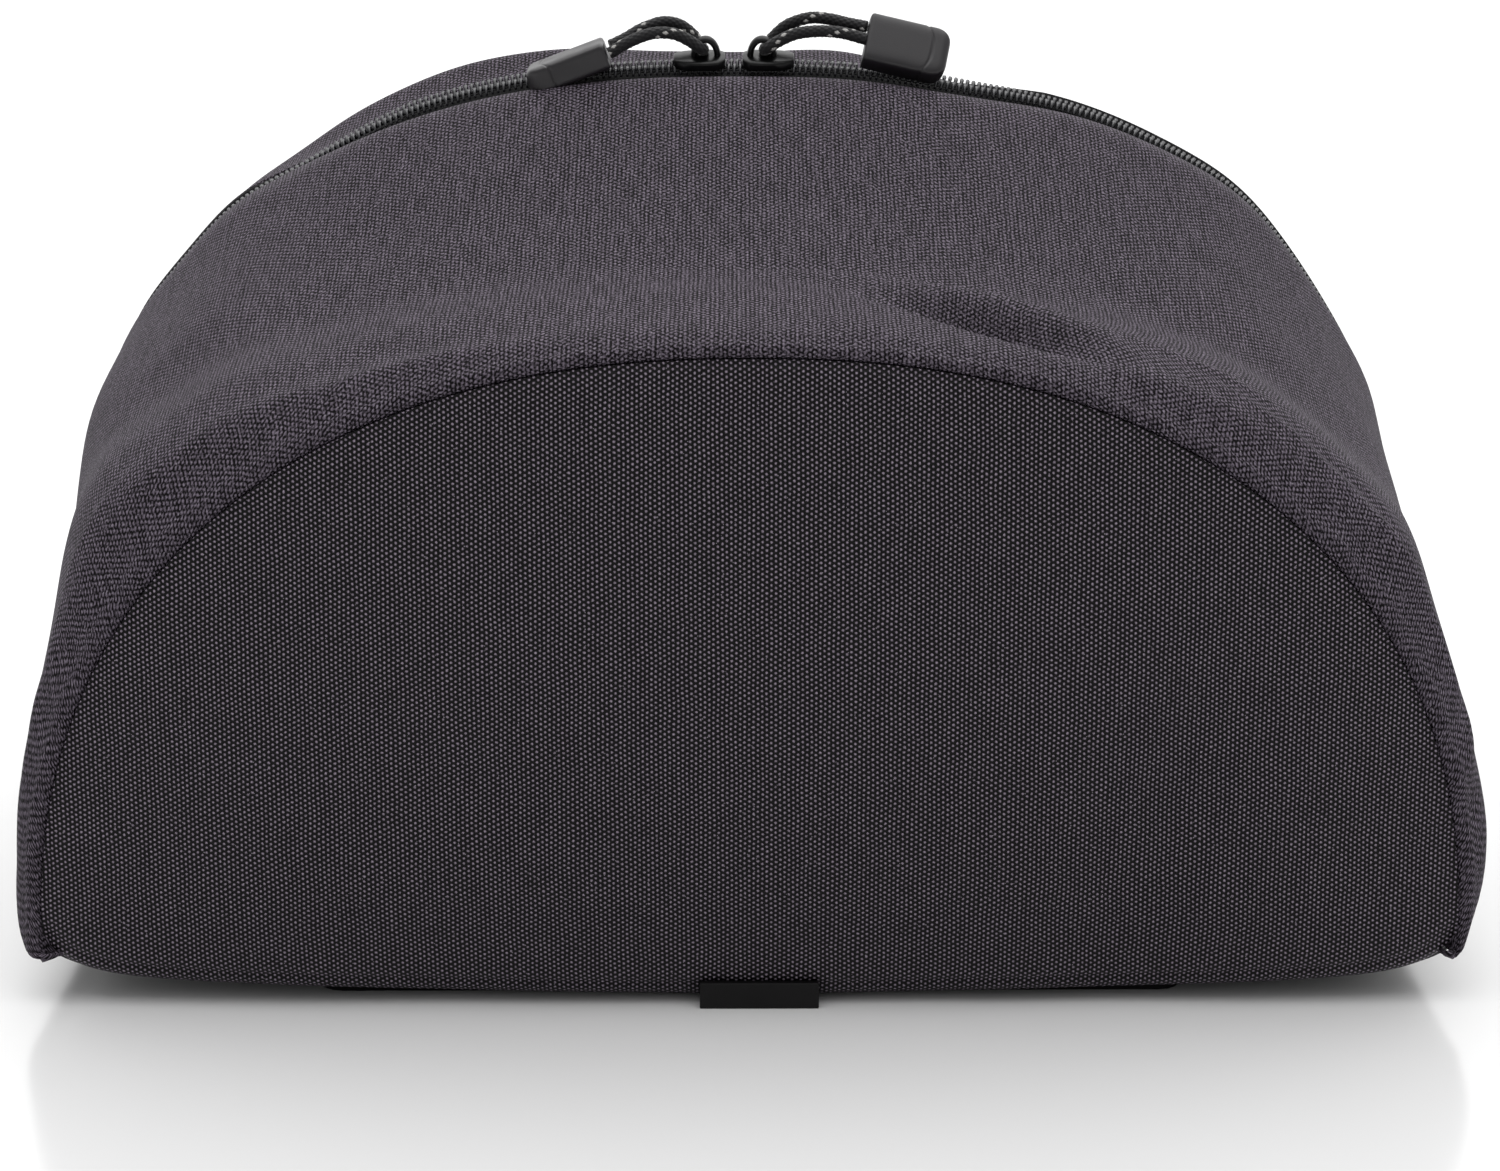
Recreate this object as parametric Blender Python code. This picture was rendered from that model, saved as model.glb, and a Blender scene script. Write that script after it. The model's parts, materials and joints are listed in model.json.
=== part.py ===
"""Bicycle rack bag: a domed cloth bag with a two-way zipper over its ridge, on a flat plate.

Metres, +Z up. The bag is longest along X and its front panel faces -Y. The origin is on
the underside of the plate, below the middle of the bag.
"""

import math
from collections import namedtuple

import bmesh
import bpy
import numpy as np
from mathutils import Matrix, Vector

MM = 0.001

# Gap kept between neighbouring pieces
GAP = 0.3 * MM

# Plate under the bag, set back from the panels, and the small tab at the front of it
PLATE_LENGTH = 204 * MM
PLATE_INSET = 7.8 * MM
PLATE_THICK = 4.2 * MM
PLATE_ROUND = 6 * MM
TAB_LENGTH = 27.6 * MM
TAB_X = 2 * MM
TAB_LIP = 2.2 * MM
TAB_LIP_RISE = 2.1 * MM

# Cloth: padded wall, single hemmed cloth beside the zipper, and zipper tape
CLOTH = 2.4 * MM
HEM_CLOTH = 1.2 * MM
TAPE = 0.9 * MM

# Heights from here to the cord sizes are measured from the underside of the bag
UNDERSIDE = PLATE_THICK + GAP

# Front and rear panels: half-round, leaning inwards at the top, swelling in the middle
PANEL_HALF = 164 * MM
PANEL_HEIGHT = 146.2 * MM
PANEL_WAIST = 7 * MM
PANEL_POWER = 2.28
PANEL_TUCK = 1 * MM
PANEL_BULGE = 7 * MM
HALF_DEPTH = 118.8 * MM
LEAN = 6.8 * MM
CORNER_RISE = 7 * MM
HEM_SAG = 1.7 * MM

# Ridge of the bag, where the two gussets meet the zipper
RIDGE_HALF = 172.5 * MM
RIDGE_HEIGHT = 200.2 * MM
RIDGE_WAIST = 25.5 * MM
RIDGE_POWER = 2.65
RIDGE_TUCK = 4.5 * MM
FOOT_HEIGHT = 5 * MM

# Stiffened floor of the bag
FLOOR_THICK = 4 * MM

# Uneven sag of the cross arches, raised or sunk by shares of this depth
SAG = 6 * MM

# Folds are raised or sunk by shares of this depth
FOLD = 5 * MM

# Zipper: coil, the open slot beside it, how far it stands proud, and where it starts
COIL_HALF = 3.4 * MM
COIL_SLOT = 3.1 * MM
COIL_PROUD = 1.2 * MM
ZIP_START = 38 * MM

# Sliders: a channel over the coil with a bridge for the cord
SLIDER_LENGTH = 12.2 * MM
SLIDER_PLATE = 1.5 * MM
SLIDER_FLANGE = 0.9 * MM
SLIDER_FLARE = 0.5 * MM
SLIDER_DROP = 1.6 * MM
BRIDGE_LENGTH = 8.4 * MM
BRIDGE_HEIGHT = 5.1 * MM
BRIDGE_WIDTH = 2.6 * MM
BRIDGE_THICK = 1.1 * MM
BRIDGE_SHIFT = 1.6 * MM
SLIDER_X = {"left": -10.4 * MM, "right": 7 * MM}

# Cord loops through the bridges
CORD_DIAMETER = 3.1 * MM
CORD_SPACING = 2.0 * MM

# Moulded pull on each cord loop
PULL_LENGTH = 21 * MM
PULL_WIDTH = 12.5 * MM
PULL_THICK = 6.5 * MM
PULL_ROUND = 3.6 * MM
PULL_EDGE = 0.8 * MM

# Fineness of the faceted solids
ARCH_STEPS = 36
FOOT_STEPS = 4
FOOT_SHARE = 0.05
PANEL_RINGS = 4
FLOOR_STEPS = 22
CURVE_SAMPLES = 600

Section = namedtuple("Section", "depth rise spread lip padding")

# One row for each cross arch, from the panel seam (depth 1) to the zipper (depth 0).
# rise and spread are shares of the growth from panel to ridge, lip says whether the
# rolled seam edge stands outside the panel, and padding goes from hem to full wall.
FRONT_SECTIONS = (
    Section(1.000, 0.000, 0.00, 1.0, 0.6),
    Section(0.972, 0.022, 0.20, 1.0, 1.0),
    Section(0.900, 0.117, 0.85, 0.0, 1.0),
    Section(0.780, 0.171, 0.93, 0.0, 1.0),
    Section(0.640, 0.234, 0.97, 0.0, 1.0),
    Section(0.450, 0.432, 1.00, 0.0, 1.0),
    Section(0.250, 0.703, 1.00, 0.0, 1.0),
    Section(0.130, 0.873, 1.00, 0.0, 1.0),
    Section(0.055, 0.972, 1.00, 0.0, 0.0),
    Section(0.000, 1.000, 1.00, 0.0, 0.0),
)
REAR_SECTIONS = (
    Section(1.000, 0.000, 0.00, 1.0, 0.6),
    Section(0.972, 0.060, 0.20, 1.0, 1.0),
    Section(0.900, 0.300, 0.85, 0.0, 1.0),
    Section(0.780, 0.500, 0.94, 0.0, 1.0),
    Section(0.640, 0.660, 0.98, 0.0, 1.0),
    Section(0.450, 0.820, 1.00, 0.0, 1.0),
    Section(0.250, 0.930, 1.00, 0.0, 1.0),
    Section(0.130, 0.972, 1.00, 0.0, 1.0),
    Section(0.055, 0.992, 1.00, 0.0, 0.0),
    Section(0.000, 1.000, 1.00, 0.0, 0.0),
)

# Zipper tape reaches this share of the depth under the hemmed cloth
TAPE_REACH = 0.05

Swell = namedtuple("Swell", "along reach height")

# One row for each broad swelling of all cross arches but the panels' own: its middle
# and reach as shares of the arch from the left foot, and its height
ARCH_SWELLS = (
    Swell(0.125, 0.045, -0.40),
    Swell(0.210, 0.046, 1.00),
    Swell(0.590, 0.040, -0.30),
    Swell(0.850, 0.050, -0.35),
)

Fold = namedtuple("Fold", "along depth reach width slope height")

# One row for each soft fold: its middle (share of the arch from the left foot, share of
# the depth), its reach and width in the same shares, the slope of its line, its height
FRONT_FOLDS = (
    Fold(0.270, 0.45, 0.060, 0.250, 0.00, 0.35),
    Fold(0.770, 0.50, 0.100, 0.330, 0.00, -0.35),
    Fold(0.490, 0.65, 0.120, 0.045, 0.10, -0.20),
    Fold(0.595, 0.87, 0.060, 0.090, 2.40, -0.80),
    Fold(0.560, 0.93, 0.060, 0.050, 0.30, 0.35),
    Fold(0.725, 0.82, 0.090, 0.070, 1.00, 0.50),
    Fold(0.690, 0.60, 0.070, 0.090, 1.20, -0.25),
    Fold(0.245, 0.96, 0.050, 0.060, -0.60, -0.60),
    Fold(0.240, 0.87, 0.070, 0.060, -0.20, 0.40),
    Fold(0.845, 0.95, 0.060, 0.050, 0.50, -0.50),
    Fold(0.860, 0.86, 0.060, 0.060, 0.50, 0.35),
)
REAR_FOLDS = (
    Fold(0.390, 0.17, 0.100, 0.16, 0.00, 1.60),
    Fold(0.540, 0.17, 0.050, 0.14, 0.00, 0.90),
    Fold(0.680, 0.30, 0.110, 0.20, 0.00, -0.60),
    Fold(0.300, 0.80, 0.070, 0.09, -0.50, -0.40),
    Fold(0.760, 0.76, 0.080, 0.09, 0.60, -0.40),
)

# Shares of the depth over which the folds die out at the hem and at the seam
HEM_FADE = 0.13
SEAM_FADE = 0.06

# Cord routes from the slider's own middle: outwards along the zipper, across, upwards
# from the coil. Each starts at the pull, passes under the bridge and comes back.
CORD_ROUTES = {
    "left": (
        (21.6, -7.0, 3.6), (17.0, -6.6, 6.4), (11.5, -5.8, 8.2), (6.4, -5.0, 8.0),
        (2.6, -4.3, 6.3), (0.1, -3.3, 4.5), (-0.8, -1.7, 3.8), (-0.9, 0.0, 3.7),
        (-0.8, 1.7, 3.8), (0.1, 3.3, 5.0), (2.0, 3.8, 7.6), (5.2, 3.3, 10.2),
        (9.5, 1.9, 11.0), (14.5, 0.0, 9.6), (18.5, -1.6, 7.4), (21.4, -2.9, 5.4),
    ),
    "right": (
        (23.6, -5.4, 6.9), (18.5, -4.9, 8.4), (12.8, -4.6, 8.7), (7.2, -4.5, 8.0),
        (3.0, -4.2, 6.3), (0.1, -3.3, 4.5), (-0.8, -1.7, 3.8), (-0.9, 0.0, 3.7),
        (-0.8, 1.7, 3.8), (0.1, 3.3, 5.0), (2.0, 3.8, 7.4), (5.2, 3.5, 10.0),
        (10.5, 2.4, 11.9), (15.5, 0.9, 11.8), (20.0, -0.9, 10.8), (23.7, -2.3, 9.9),
    ),
}

# Pull directions: pitch below level going outwards, and roll of the broad face
PULL_TILT = {"left": (12.0, 20.0), "right": (13.0, 42.0)}


def clear_scene():
    for thing in list(bpy.data.objects):
        bpy.data.objects.remove(thing)


def finish(name, colour, roughness, metallic=0.0):
    """A plain material with the piece's colour."""
    material = bpy.data.materials.new(name)
    material.use_nodes = True
    shader = material.node_tree.nodes["Principled BSDF"]
    shader.inputs["Base Color"].default_value = (*colour, 1.0)
    shader.inputs["Roughness"].default_value = roughness
    shader.inputs["Metallic"].default_value = metallic
    return material


def add_object(name, points, faces, material, round_angle=50.0):
    """Mesh object with outward faces, smooth where its faces meet gently."""
    mesh = bpy.data.meshes.new(name)
    work = bmesh.new()
    vertices = [work.verts.new(point) for point in points]
    for face in faces:
        work.faces.new([vertices[index] for index in face])
    bmesh.ops.recalc_face_normals(work, faces=work.faces)
    work.to_mesh(mesh)
    work.free()
    mesh.shade_smooth()
    mesh.set_sharp_from_angle(angle=math.radians(round_angle))
    mesh.materials.append(material)
    thing = bpy.data.objects.new(name, mesh)
    bpy.context.scene.collection.objects.link(thing)
    return thing


def add_wall(name, outer, inner, material):
    """Closed wall between two equal grids of points, each rows by columns."""
    rows, columns = outer.shape[:2]
    points = np.concatenate([outer.reshape(-1, 3), inner.reshape(-1, 3)])

    def at(side, row, column):
        return side * rows * columns + row * columns + column

    faces = []
    for row in range(rows - 1):
        for column in range(columns - 1):
            for side in (0, 1):
                corners = [(row, column), (row, column + 1), (row + 1, column + 1), (row + 1, column)]
                face = [at(side, *corner) for corner in corners]
                faces.append(face if side == 0 else face[::-1])
    border = [(0, column) for column in range(columns)]
    border += [(row, columns - 1) for row in range(1, rows)]
    border += [(rows - 1, column) for column in range(columns - 2, -1, -1)]
    border += [(row, 0) for row in range(rows - 2, 0, -1)]
    for here, there in zip(border, border[1:] + border[:1]):
        faces.append([at(0, *there), at(0, *here), at(1, *here), at(1, *there)])
    return add_object(name, points, faces, material)


def add_loft(name, rings, material, round_angle=50.0):
    """Closed solid through equal rings of points, with a cap on each end."""
    count = len(rings[0])
    points = [point for ring in rings for point in ring]
    faces = [list(range(count))[::-1]]
    for step in range(len(rings) - 1):
        for index in range(count):
            after = (index + 1) % count
            low = step * count
            high = low + count
            faces.append([low + index, low + after, high + after, high + index])
    last = (len(rings) - 1) * count
    faces.append([last + index for index in range(count)])
    return add_object(name, points, faces, material, round_angle)


def smooth_value(places, values, where):
    """Curve through the values without overshoot, read at the given places."""
    places = np.asarray(places, float)
    values = np.asarray(values, float)
    steps = np.diff(places)
    slopes = np.diff(values) / steps
    bends = np.zeros(len(places))
    same = slopes[:-1] * slopes[1:] > 0
    first = 2 * steps[1:] + steps[:-1]
    second = steps[1:] + 2 * steps[:-1]
    safe = np.where(same, slopes[:-1] * slopes[1:], 1.0)
    mean = (first + second) * safe / (first * slopes[1:] + second * slopes[:-1] + (~same))
    bends[1:-1] = np.where(same, mean, 0.0)
    bends[0] = slopes[0]
    bends[-1] = slopes[-1]
    where = np.clip(where, places[0], places[-1])
    cell = np.clip(np.searchsorted(places, where) - 1, 0, len(steps) - 1)
    width = steps[cell]
    share = (where - places[cell]) / width
    rest = 1 - share
    return (
        values[cell] * (1 + 2 * share) * rest**2
        + bends[cell] * width * share * rest**2
        + values[cell + 1] * (3 - 2 * share) * share**2
        - bends[cell + 1] * width * rest * share**2
    )


def section_at(sections, depth):
    """The table's columns at any depth share, as a Section."""
    ordered = sections[::-1]
    places = [section.depth for section in ordered]
    columns = []
    for column in ("rise", "spread", "lip", "padding"):
        values = [getattr(section, column) for section in ordered]
        columns.append(float(smooth_value(places, values, depth)))
    return Section(depth, *columns)


def cloth_thickness(section):
    return HEM_CLOTH + (CLOTH - HEM_CLOTH) * section.padding


def arch(section, shares):
    """Points (x, z) and outward normals of one cross arch, at shares of its length
    from the left foot to the right foot."""
    shares = np.asarray(shares, float)
    spread = section.spread
    half = PANEL_HALF + (RIDGE_HALF - PANEL_HALF) * spread
    top = PANEL_HEIGHT + (RIDGE_HEIGHT - PANEL_HEIGHT) * section.rise
    waist = PANEL_WAIST + (RIDGE_WAIST - PANEL_WAIST) * spread
    power = PANEL_POWER + (RIDGE_POWER - PANEL_POWER) * spread
    tuck = PANEL_TUCK + (RIDGE_TUCK - PANEL_TUCK) * spread
    angle = np.linspace(0, math.pi / 2, CURVE_SAMPLES)
    dome_x = half * np.abs(np.cos(angle)) ** (2 / power)
    dome_z = waist + (top - waist) * np.abs(np.sin(angle)) ** (2 / power)
    dome_x[-1] = 0
    below = np.linspace(1, 0, CURVE_SAMPLES // 4)[:-1]
    side_x = half - tuck * below**2
    side_z = waist - (waist - FOOT_HEIGHT) * below
    right_x = np.concatenate([side_x, dome_x])
    right_z = np.concatenate([side_z, dome_z])
    x = np.concatenate([-right_x, right_x[-2::-1]])
    z = np.concatenate([right_z, right_z[-2::-1]]) + UNDERSIDE
    length = np.concatenate([[0], np.cumsum(np.hypot(np.diff(x), np.diff(z)))])
    place = shares * length[-1]
    slope_x = np.gradient(x, length)
    slope_z = np.gradient(z, length)
    along_x = np.interp(place, length, slope_x)
    along_z = np.interp(place, length, slope_z)
    size = np.hypot(along_x, along_z)
    normal_x = -along_z / size
    normal_z = along_x / size
    swell = sum(row.height * np.exp(-(((shares - row.along) / row.reach) ** 2)) for row in ARCH_SWELLS)
    swell = swell * SAG * spread
    x = np.interp(place, length, x) + normal_x * swell
    z = np.interp(place, length, z) + normal_z * swell
    return x, z, normal_x, normal_z


def arch_stations():
    """Shares of the arch at which the gussets have their points, closer at the feet."""
    foot = np.linspace(0, FOOT_SHARE, FOOT_STEPS + 1)
    dome = np.linspace(FOOT_SHARE, 1 - FOOT_SHARE, ARCH_STEPS + 1)
    return np.concatenate([foot[:-1], dome, 1 - foot[-2::-1]])


SEAM = Section(1.0, 0.0, 0.0, 0.0, 1.0)
RIDGE = Section(0.0, 1.0, 1.0, 0.0, 0.0)


def panel_plane(height):
    """Distance of the panel's edge from the middle plane, at a world height."""
    return HALF_DEPTH - LEAN * (height - UNDERSIDE) / PANEL_HEIGHT


def hem_edge():
    """Distance of the gusset's zipper edge from the middle plane."""
    return COIL_HALF + COIL_SLOT


def fold_height(folds, shares, depth):
    """Sum of the folds at shares of the arch, for one depth share. The folds die out
    towards the zipper's hem and towards the panel's seam."""
    fade = min(max(depth / HEM_FADE, 0.0), 1.0) * min((1 - depth) / SEAM_FADE, 1.0)
    total = np.zeros(len(shares))
    for fold in folds:
        along = shares - fold.along
        across = depth - fold.depth - fold.slope * along
        total += fold.height * np.exp(-((along / fold.reach) ** 2) - (across / fold.width) ** 2)
    return total * FOLD * fade


def skin(sections, folds, side, shares, depth, outwards):
    """Points of the cloth at one depth share. side is -1 in front and 1 behind, and
    outwards moves them along the cross arch's normal from its outer face."""
    section = section_at(sections, max(depth, 0.0))
    x, z, normal_x, normal_z = arch(section, shares)
    lift = section.lip * (GAP + cloth_thickness(section)) + outwards
    lift = lift + fold_height(folds, shares, depth)
    seam_plane = panel_plane(arch(SEAM, shares)[1])
    if depth < 0:
        seam_plane = np.full(len(shares), HALF_DEPTH)
    y = hem_edge() + depth * (seam_plane - hem_edge())
    return np.stack([x + normal_x * lift, side * y, z + normal_z * lift], axis=1)


def tape_depth(distance):
    """Depth share, below 0, of a line in the slot at this distance from its middle."""
    return (distance - hem_edge()) / (HALF_DEPTH - hem_edge())


def gusset_depths(sections):
    """Depth shares of the rows of the mesh: the table's own, and one between each
    two of the broad ones."""
    depths = []
    for here, after in zip(sections, sections[1:]):
        depths.append(here.depth)
        if here.depth - after.depth > 0.1:
            depths.append((here.depth + after.depth) / 2)
    depths.append(sections[-1].depth)
    return depths


def add_gusset(name, sections, folds, side, material):
    shares = arch_stations()
    outer = []
    inner = []
    for depth in gusset_depths(sections):
        thickness = cloth_thickness(section_at(sections, depth))
        outer.append(skin(sections, folds, side, shares, depth, 0.0))
        inner.append(skin(sections, folds, side, shares, depth, -thickness))
    return add_wall(name, np.array(outer), np.array(inner), material)


def zip_station():
    """Number of the station nearest to the level at which the zipper starts."""
    heights = arch(RIDGE, arch_stations()[: ARCH_STEPS // 2])[1]
    return int(np.argmin(np.abs(heights - UNDERSIDE - ZIP_START)))


def zip_shares():
    """Shares of the arch for the zipper's points, between the closing strips."""
    start = zip_station()
    shares = arch_stations()[start:-start].copy()
    gap_share = GAP / (2 * RIDGE_HEIGHT)
    shares[0] += gap_share
    shares[-1] -= gap_share
    return shares


def add_tape(name, sections, folds, side, material):
    """Half of the zipper tape, from under the hemmed cloth to the middle of the coil."""
    shares = zip_shares()
    depths = (TAPE_REACH, TAPE_REACH / 2, 0.0, tape_depth(GAP / 2))
    top = -(HEM_CLOTH + GAP)
    rows = [skin(sections, folds, side, shares, depth, top) for depth in depths]
    rows += [skin(sections, folds, side, shares, depth, top - TAPE) for depth in depths[::-1]]
    return add_loft(name, np.array(rows).transpose(1, 0, 2), material)


def add_coil(material):
    """Zipper coil as one flattened bar over the ridge, between the hemmed edges."""
    coarse = zip_shares()
    middles = (coarse[1:] + coarse[:-1]) / 2
    shares = np.sort(np.concatenate([coarse, middles]))
    x, z, normal_x, normal_z = arch(RIDGE, shares)
    thick = COIL_PROUD + HEM_CLOTH
    profile = ((-1.0, 0.3), (-0.8, 0.75), (0.0, 1.0), (0.8, 0.75), (1.0, 0.3), (0.85, 0.0), (-0.85, 0.0))
    rows = []
    for across, up in profile:
        lift = up * thick - HEM_CLOTH
        y = np.full(len(shares), across * COIL_HALF)
        rows.append(np.stack([x + normal_x * lift, y, z + normal_z * lift], axis=1))
    return add_loft("zipper_coil", np.array(rows).transpose(1, 0, 2), material)


def add_end_strip(name, direction, material):
    """Plain strip that closes the bag below one end of the zipper."""
    shares = arch_stations()[: zip_station() + 1].copy()
    shares[-1] -= GAP / (2 * RIDGE_HEIGHT)
    if direction > 0:
        shares = 1 - shares
    top = -(HEM_CLOTH + GAP)
    depths = (TAPE_REACH, 0.0)
    rows = []
    for outwards in (top, top - TAPE):
        front = [skin(FRONT_SECTIONS, (), -1, shares, depth, outwards) for depth in depths]
        rear = [skin(REAR_SECTIONS, (), 1, shares, depth, outwards) for depth in depths[::-1]]
        across = front + rear
        rows += across if outwards == top else across[::-1]
    return add_loft(name, np.array(rows).transpose(1, 0, 2), material)


def hem_height(share):
    """World height of the bag's underside at a share of its half length."""
    share = np.minimum(np.abs(share), 1.0)
    return UNDERSIDE + CORNER_RISE * share**20 + HEM_SAG * share**5


def panel_outline():
    """Outline of a panel: the arch from left to right, then the bottom back again."""
    corner = float(hem_height(1.0))
    shares = np.linspace(0, 0.5, CURVE_SAMPLES)
    start = float(np.interp(corner, arch(SEAM, shares)[1], shares))
    stations = arch_stations()
    stations = stations[(stations > start) & (stations < 1 - start)]
    x, z = arch(SEAM, np.concatenate([[start], stations, [1 - start]]))[:2]
    half = x[-1]
    steps = np.array([0.985, 0.96, 0.92, 0.84, 0.66, 0.34])
    bottom = np.concatenate([steps, -steps[::-1]])
    x = np.concatenate([x, bottom * half])
    z = np.concatenate([z, hem_height(bottom)])
    return x, z


def panel_centre():
    """World height of the middle of the panel's swelling."""
    return UNDERSIDE + PANEL_HEIGHT * 0.35


def panel_bulge(share):
    """How far the panel stands out at a share of the way from its middle to its edge."""
    return PANEL_BULGE * (1 - share**2)


def add_panel(name, side, material):
    x, z = panel_outline()
    middle = panel_centre()
    shares = np.linspace(0, 1, PANEL_RINGS + 1)[1:]
    rings = []
    for face, order in ((0.0, shares), (CLOTH, shares[::-1])):
        for share in order:
            ring_x = x * share
            ring_z = middle + (z - middle) * share
            distance = panel_plane(ring_z) + panel_bulge(share) - face
            rings.append(np.stack([ring_x, side * distance, ring_z], axis=1))
    return add_loft(name, rings, material)


def floor_edge(sections, side):
    """Distances from the middle plane and half lengths of the floor along one gusset,
    read at the gusset's own rows, at the level of the floor's turned-up ends."""
    corner = float(hem_height(1.0))
    shares = arch_stations()
    shares = shares[len(shares) // 2 :]
    distances = []
    halves = []
    for depth in gusset_depths(sections)[::-1]:
        thickness = cloth_thickness(section_at(sections, depth))
        thickness = max(thickness, HEM_CLOTH + GAP + TAPE)
        wall = skin(sections, (), side, shares, depth, -thickness)
        distances.append(hem_edge() + depth * (panel_plane(corner) - hem_edge()))
        halves.append(float(np.interp(-corner, -wall[:, 2], wall[:, 0])) - GAP)
    return distances, halves


def add_floor(material):
    """Stiffened floor between the panels and the gussets, with its ends turned up."""
    corner_top = float(hem_height(1.0)) + FLOOR_THICK
    front = panel_plane(corner_top) - CLOTH - GAP
    columns = np.sin(np.linspace(-1, 1, FLOOR_STEPS + 1) * math.pi / 2)
    top = []
    bottom = []
    for side, sections in ((-1, FRONT_SECTIONS), (1, REAR_SECTIONS)):
        distances, halves = floor_edge(sections, side)
        rows = [distances[1], distances[len(distances) // 2], distances[-3], front]
        for distance in rows[::side]:
            x = columns * np.interp(distance, distances, halves)
            y = np.full(len(columns), side * distance)
            z = hem_height(columns)
            bottom.append(np.stack([x, y, z], axis=1))
            top.append(np.stack([x, y, z + FLOOR_THICK], axis=1))
    return add_wall("floor_panel", np.array(top), np.array(bottom), material)


def rounded_corners(half_x, half_y, radius, steps):
    """Outline of a rectangle with rounded corners."""
    outline = []
    for quarter in range(4):
        centre_x = (half_x - radius) * (1, -1, -1, 1)[quarter]
        centre_y = (half_y - radius) * (1, 1, -1, -1)[quarter]
        for step in range(steps + 1):
            angle = (quarter + step / steps) * math.pi / 2
            outline.append((centre_x + radius * math.cos(angle), centre_y + radius * math.sin(angle)))
    return outline


def plate_half_depth():
    return HALF_DEPTH - PLATE_INSET


def add_plate(material):
    outline = rounded_corners(PLATE_LENGTH / 2, plate_half_depth(), PLATE_ROUND, 4)
    rings = [[(x, y, z) for x, y in outline] for z in (0.0, PLATE_THICK)]
    return add_loft("base_plate", rings, material, 30)


def add_tab(material):
    """L-shaped tab: its foot meets the plate and its lip stands before the panel."""
    lip_top = UNDERSIDE + TAB_LIP_RISE - GAP
    middle = panel_centre()
    share = (middle - lip_top) / (middle - UNDERSIDE)
    lip_back = panel_plane(UNDERSIDE) + panel_bulge(share) + GAP
    lip_front = lip_back + TAB_LIP
    foot_back = plate_half_depth() + GAP
    profile = (
        (-lip_front, 0.0), (-foot_back, 0.0), (-foot_back, PLATE_THICK),
        (-lip_back, PLATE_THICK), (-lip_back, lip_top), (-lip_front, lip_top),
    )
    ends = (TAB_X - TAB_LENGTH / 2, TAB_X + TAB_LENGTH / 2)
    rings = [[(x, y, z) for y, z in profile] for x in ends]
    return add_loft("plate_tab", rings, material, 30)


def ridge_frame(x):
    """World matrix on top of the coil at x, with its own X along the zipper."""
    shares = np.linspace(0, 1, CURVE_SAMPLES)
    arch_x, arch_z, normal_x, normal_z = arch(RIDGE, shares)
    z = float(np.interp(x, arch_x, arch_z))
    up = Vector((float(np.interp(x, arch_x, normal_x)), 0.0, float(np.interp(x, arch_x, normal_z))))
    up.normalize()
    along = Vector((up.z, 0.0, -up.x))
    origin = Vector((x, 0.0, z)) + up * COIL_PROUD
    frame = Matrix.Identity(4)
    frame.col[0] = (*along, 0.0)
    frame.col[2] = (*up, 0.0)
    frame.col[3] = (*origin, 1.0)
    return frame


def add_bridge(name, outward, material):
    """Cord bridge of a slider, its feet sunk in the slider's plate."""
    top = GAP + SLIDER_PLATE
    sunk = SLIDER_PLATE / 3
    half = BRIDGE_LENGTH / 2
    arcs = []
    for trim in (0.0, BRIDGE_THICK):
        arc = []
        for step in range(9):
            angle = math.pi * step / 8
            x = (half - trim) * math.cos(angle)
            z = (BRIDGE_HEIGHT - trim) * math.sin(angle) ** 0.8
            arc.append((x, top + z))
        arc[0] = (half - trim, top - sunk)
        arc[-1] = (trim - half, top - sunk)
        arcs.append(arc)
    outline = arcs[0] + arcs[1][::-1]
    shift = -BRIDGE_SHIFT * outward
    rings = []
    for y in (-BRIDGE_WIDTH / 2, BRIDGE_WIDTH / 2):
        rings.append([(x + shift, y, z) for x, z in outline])
    return add_loft(name, rings, material, 40)


def add_slider(name, side, material):
    """Channel that rides over the coil, joined to its bridge."""
    outward = -1 if side == "left" else 1
    low = GAP
    high = GAP + SLIDER_PLATE
    bottom = high - SLIDER_PLATE - SLIDER_DROP
    inside = COIL_HALF + GAP
    stations = ((-0.5, 0.0), (-0.32, 1.0), (0.1, 1.0), (0.5, 0.3))
    rings = []
    for along, flare in stations:
        outside = inside + SLIDER_FLANGE + SLIDER_FLARE * flare
        profile = (
            (-outside, high), (outside, high), (outside, bottom), (inside, bottom),
            (inside, low), (-inside, low), (-inside, bottom), (-outside, bottom),
        )
        x = along * SLIDER_LENGTH * outward
        rings.append([(x, y, z) for y, z in profile])
    slider = add_loft(name, rings, material, 40)
    bridge = add_bridge(name + "_bridge_tool", outward, material)
    bridge.hide_render = True
    bridge.display_type = "WIRE"
    for thing in (slider, bridge):
        thing.matrix_world = ridge_frame(SLIDER_X[side])
    union = slider.modifiers.new("bridge", "BOOLEAN")
    union.operation = "UNION"
    union.object = bridge
    return slider


def smooth_route(points, spacing):
    """Evenly spaced points on a Catmull-Rom curve through the route's own points."""
    points = [Vector(point) for point in points]
    points = [points[0] * 2 - points[1], *points, points[-1] * 2 - points[-2]]
    dense = []
    for before, here, there, after in zip(points, points[1:], points[2:], points[3:]):
        for step in range(12):
            share = step / 12
            bend = (there - before) * share
            bend += (before * 2 - here * 5 + there * 4 - after) * share**2
            bend += (here * 3 - there * 3 + after - before) * share**3
            dense.append(here + bend / 2)
    dense.append(points[-2])
    lengths = [0.0]
    for here, there in zip(dense, dense[1:]):
        lengths.append(lengths[-1] + (there - here).length)
    count = max(2, round(lengths[-1] / spacing))
    places = np.linspace(0, lengths[-1], count + 1)
    axes = [np.interp(places, lengths, [point[axis] for point in dense]) for axis in range(3)]
    return np.stack(axes, axis=1)


def cord_points(side):
    """World points of a cord loop's middle line."""
    outward = -1 if side == "left" else 1
    frame = ridge_frame(SLIDER_X[side])
    origin = frame.translation
    route = []
    for along, across, up in CORD_ROUTES[side]:
        route.append(origin + Vector((along * outward, across, up)) * MM)
    return smooth_route(route, CORD_SPACING)


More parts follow.
